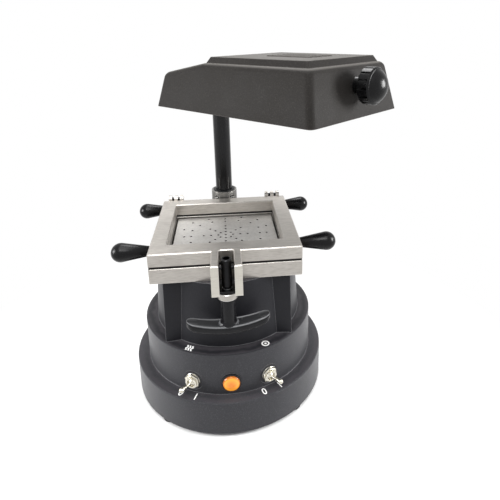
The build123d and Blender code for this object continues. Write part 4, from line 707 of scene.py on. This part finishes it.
def wallSpot(angle, radius, z):
    # angles run round the base's axis from its front
    a = math.radians(angle)
    return (radius * math.sin(a), -radius * math.cos(a), z)


def outward(angle):
    return wallSpot(angle, 1, 0)


wall = {"radius": 89.5, "z": 53}
switch = {"angle": 24.5, "tilt": 17, "pivot": 3, "reach": 19, "tip": 2.4, "neck": 1.25, "sides": 28}
nut = {"across": 14, "thick": 2.6, "washer": 7.6, "washerThick": 1.0, "washerEdge": 0.2,
       "turn": 8, "edge": 0.25}

tipHeight = switch["reach"] - switch["pivot"] - switch["tip"]
# a ball in the bush, a thin neck, and a bat that swells to a round tip
outline = [(0.6, -4.0), (2.2, -3.4), (3.4, -2.2), (4.0, -0.9), (4.1, 0.0), (3.9, 0.8), (2.6, 1.6), (1.6, 2.3),
           (switch["neck"], 3.4), (switch["neck"] + 0.1, 6.6), (switch["neck"] + 0.5, 8.2),
           (switch["tip"] - 0.2, tipHeight - 1.4), (switch["tip"], tipHeight)]
for step in range(1, 6):
    angle = math.radians(90 - 15 * step)
    outline.append((switch["tip"] * math.sin(angle), tipHeight + switch["tip"] * math.cos(angle)))
outline.append((0.15, tipHeight + switch["tip"]))
batLever = turnedPiece("batLever", outline, switch["sides"])
for side, word in ((-1, "Left"), (1, "Right")):
    lever = copyPiece(batLever, "toggleLever" + word)
    pivot = wallSpot(side * switch["angle"], wall["radius"] + switch["pivot"], wall["z"])
    placePiece(lever, pointAlong(pivot, outward(side * (switch["angle"] + switch["tilt"]))))
    finishPiece(lever, "toggle_" + word.lower(), nickelPlate, ["toggle_lever_" + word.lower()], 45)
bpy.data.objects.remove(batLever)

corner = nut["across"] / 2 / math.cos(math.radians(30))  # from the middle to a corner of the hexagon
nutTop = nut["washerThick"] + nut["thick"]
washerOutline = [(nut["washer"] - nut["washerEdge"], 0), (nut["washer"], nut["washerEdge"]),
                 (nut["washer"], nut["washerThick"] - nut["washerEdge"]),
                 (nut["washer"] - nut["washerEdge"], nut["washerThick"])]
nutOutline = [(corner - 0.5, nut["washerThick"]), (corner, nut["washerThick"] + 0.3), (corner, nutTop - 0.4),
              (corner - 0.9, nutTop)]
nutPieces = []
for side in (-1, 1):
    washerPiece = turnedPiece("washer", washerOutline, 40)
    nutPiece = turnedPiece("nut", nutOutline, 6)
    applyModifier(nutPiece, "BEVEL", width=nut["edge"] * mm, segments=2, limit_method="ANGLE",
                  angle_limit=math.radians(30))
    fitted = joinPieces([nutPiece, washerPiece], "toggleNut")
    spot = wallSpot(side * switch["angle"], wall["radius"], wall["z"])
    placePiece(fitted, pointAlong(spot, outward(side * switch["angle"])) @ turned(nut["turn"]))
    nutPieces.append(fitted)
toggleNuts = joinPieces(nutPieces, "toggleNuts")
finishPiece(toggleNuts, "base", nickelPlate, ["toggle_nuts"], 25)

lens = {"radius": 8.3, "shoulder": 2.2, "edge": 0.4, "out": 4.4}

domeFoot = lens["shoulder"] + lens["edge"]
outline = [(lens["radius"], 0), (lens["radius"], lens["shoulder"]), (lens["radius"] - 0.25, domeFoot)]
for step in range(1, 8):
    angle = math.radians(90 - 11.5 * step)
    rise = (lens["out"] - domeFoot) * math.cos(angle)
    outline.append(((lens["radius"] - 0.3) * math.sin(angle), domeFoot + rise))
outline.append((0.3, lens["out"]))
lampLens = turnedPiece("lampLens", outline)
placePiece(lampLens, pointAlong(wallSpot(0, wall["radius"], wall["z"]), outward(0)))
finishPiece(lampLens, "base", amberAcrylic, ["lamp_lens"], 40)
print("switches and lamp made")


# marks on the two ledges

marks = {"thick": 0.12, "lowZ": 39.82, "lowRadius": 96.4, "highZ": 84.72, "highRadius": 84.6,
         "letters": [("0", -31.0), ("I", -21.4), ("0", 19.2), ("I", 29.6)], "size": 11.5, "slim": 0.8,
         "bold": 0.12, "ringAngle": 24.2, "rings": ((4.0, 2.7), (1.3, 0.0))}
waves = {"angle": -27.6, "offsets": (-2.7, 0, 2.7), "width": 1.6, "length": 7.2, "steps": 14, "swing": 0.55,
         "pace": 1.55}


def ledgePlace(angle, radius, z):
    return moved(wallSpot(angle, radius, z)) @ turned(angle)


markPieces = []
for letter, angle in marks["letters"]:
    clearSelection()
    bpy.ops.object.text_add(location=(0, 0, 0))
    mark = bpy.context.object
    mark.data.body = letter
    mark.data.size = marks["size"] * mm
    mark.data.extrude = marks["thick"] / 2 * mm
    mark.data.offset = marks["bold"] * mm
    mark.data.align_x = "CENTER"
    mark.data.align_y = "CENTER"
    bpy.ops.object.convert(target="MESH")
    mark.scale = (marks["slim"], 1, 1)
    bpy.ops.object.transform_apply(location=True, rotation=True, scale=True)
    placePiece(mark, ledgePlace(angle, marks["lowRadius"], marks["lowZ"]))
    markPieces.append(mark)

for offset in waves["offsets"]:  # three rising waves for heat
    clearSelection()
    bpy.ops.mesh.primitive_grid_add(x_subdivisions=1, y_subdivisions=waves["steps"], size=1)
    wave = bpy.context.object
    wave.scale = (waves["width"] * mm, waves["length"] * mm, mm)
    bpy.ops.object.transform_apply(location=True, rotation=True, scale=True)
    bpy.ops.object.mode_set(mode="EDIT")
    for i in range(waves["steps"] + 1):
        y = waves["length"] * (i / waves["steps"] - 0.5)
        pickPoints(lambda p: abs(p.y - y) < 0.1)
        aside = offset + waves["swing"] * math.sin(y * waves["pace"])
        bpy.ops.transform.translate(value=(aside * mm, 0, 0))
    bpy.ops.object.mode_set(mode="OBJECT")
    applyModifier(wave, "SOLIDIFY", thickness=marks["thick"] * mm, offset=0)
    placePiece(wave, ledgePlace(waves["angle"], marks["highRadius"], marks["highZ"]))
    markPieces.append(wave)

for outer, inner in marks["rings"]:  # a ring with a dot for suction
    clearSelection()
    bpy.ops.mesh.primitive_circle_add(vertices=40, radius=outer * mm, fill_type="NGON")
    ring = bpy.context.object
    bpy.ops.object.mode_set(mode="EDIT")
    bpy.ops.mesh.select_all(action="SELECT")
    if inner:
        bpy.ops.mesh.inset(thickness=(outer - inner) * mm)
        bpy.ops.mesh.delete(type="FACE")
    bpy.ops.object.mode_set(mode="OBJECT")
    applyModifier(ring, "SOLIDIFY", thickness=marks["thick"] * mm, offset=0)
    placePiece(ring, ledgePlace(marks["ringAngle"], marks["highRadius"], marks["highZ"]))
    markPieces.append(ring)
ledgeMarks = joinPieces(markPieces, "ledgeMarks")
finishPiece(ledgeMarks, "base", whiteInk)
print("marks made")


# cord inlet at the back: a flange on the wall, a gripped nut and a bore

gland = {"angle": 150, "wall": 102, "z": 19.9, "bore": 3.75, "sides": 48, "gripLow": 4.0, "gripHigh": 8.6,
         "gripDepth": 0.6}

outline = [(7.9, -8), (7.9, 0), (10, 0), (10, 2.6), (9.6, 3.0), (8.3, 3.0), (8.3, gland["gripLow"]),
           (8.0, gland["gripHigh"]), (7.2, 10.6), (6.0, 11.8), (5.2, 12), (gland["bore"] + 0.25, 12),
           (gland["bore"], 11.7), (gland["bore"], -6)]
cordGland = turnedPiece("cordGland", outline, gland["sides"])
bpy.ops.object.mode_set(mode="EDIT")
# two of each four sides of the nut are sunk for the fingers, and the bore's wall isn't touched
pickFaces(lambda p, n: abs(n.z) < 0.3 and gland["gripLow"] < p.z < gland["gripHigh"]
          and p.xy.length > gland["bore"] + 1 and faceRound(p, gland["sides"]) % 4 < 2)
bpy.ops.mesh.extrude_region_shrink_fatten(TRANSFORM_OT_shrink_fatten={"value": -gland["gripDepth"] * mm})
bpy.ops.object.mode_set(mode="OBJECT")
spot = wallSpot(gland["angle"], gland["wall"], gland["z"])
placePiece(cordGland, pointAlong(spot, outward(gland["angle"])))
finishPiece(cordGland, "base", blackNylon, ["cable_gland"], 30)
print("cord inlet made")


# floor, light and background; lengths here are in metres

studio = {"ambient": 0.29, "floorSize": 8, "paper": 0.92, "nearLift": 0.03, "nearRadius": 0.13,
          "farRadius": 0.36, "aim": (0, 0, 0.16)}
white = (1, 1, 1, 1)


def seenWhite(tree):
    # 1 for the camera, and for what shows in metal or through clear parts
    rays = addNode(tree, "LightPath")
    seen = rays.outputs["Is Camera Ray"]
    for kind in ("Is Glossy Ray", "Is Transmission Ray"):
        seen = addNode(tree, "Math", {"operation": "MAXIMUM"}, {0: seen, 1: rays.outputs[kind]})
    return seen


world = bpy.data.worlds.new("studio")
bpy.context.scene.world = world
world.use_nodes = True
tree = world.node_tree
tree.nodes.clear()
dim = addNode(tree, "Background", {"Color": white, "Strength": studio["ambient"]})
bright = addNode(tree, "Background", {"Color": white, "Strength": 1.0})
mixed = addNode(tree, "MixShader", links={0: seenWhite(tree), 1: dim, 2: bright})
addNode(tree, "OutputWorld", links={"Surface": mixed})

clearSelection()
bpy.ops.mesh.primitive_plane_add(size=studio["floorSize"], location=(0, 0, 0))
floor = bpy.context.object
floor.name = "floor"
paper = bpy.data.materials.new("whitePaperFloor")
paper.use_nodes = True
tree = paper.node_tree
tree.nodes.clear()
# paper near the object takes its shadow, and runs out into pure white further off
place = addNode(tree, "TexCoord").outputs["Object"]
away = addNode(tree, "VectorMath", {"operation": "LENGTH"}, {0: place}).outputs["Value"]
spread = addNode(tree, "MapRange", {1: studio["nearRadius"], 2: studio["farRadius"], 3: 0.0, 4: 1.0},
                 {0: away})
matt = addNode(tree, "BsdfDiffuse", {"Color": (studio["paper"], studio["paper"], studio["paper"], 1)})
lift = addNode(tree, "Emission", {"Color": white, "Strength": studio["nearLift"]})
lifted = addNode(tree, "MixShader", links={0: seenWhite(tree), 2: lift})  # its empty input gives no light
near = addNode(tree, "AddShader", links={0: matt, 1: lifted})
glow = addNode(tree, "Emission", {"Color": white, "Strength": 1.0})
far = addNode(tree, "MixShader", links={0: seenWhite(tree), 1: matt, 2: glow})
blend = addNode(tree, "MixShader", links={0: spread, 1: near, 2: far})
addNode(tree, "OutputMaterial", links={"Surface": blend})
floor.data.materials.append(paper)

lamps = [
    {"name": "softAbove", "place": (-0.05, -0.20, 1.35), "size": 0.6, "power": 5.5},
    {"name": "softBehind", "place": (0.10, 0.55, 1.20), "size": 0.5, "power": 8.0},
    {"name": "stripLeft", "place": (-0.95, -0.15, 0.42), "size": 0.35, "power": 9.5},
    {"name": "stripRight", "place": (0.95, -0.20, 0.42), "size": 0.35, "power": 10.5},
    {"name": "softFront", "place": (-0.10, -0.80, 1.20), "size": 0.5, "power": 7.5},
]
for lamp in lamps:
    light = bpy.data.lights.new(lamp["name"], "AREA")
    light.size = lamp["size"]
    light.energy = lamp["power"]
    lightObject = bpy.data.objects.new(lamp["name"], light)
    lightObject.location = lamp["place"]
    aim = Vector(studio["aim"]) - Vector(lamp["place"])
    lightObject.rotation_euler = aim.to_track_quat("-Z", "Y").to_euler()
    bpy.context.scene.collection.objects.link(lightObject)
print("floor and lights set")
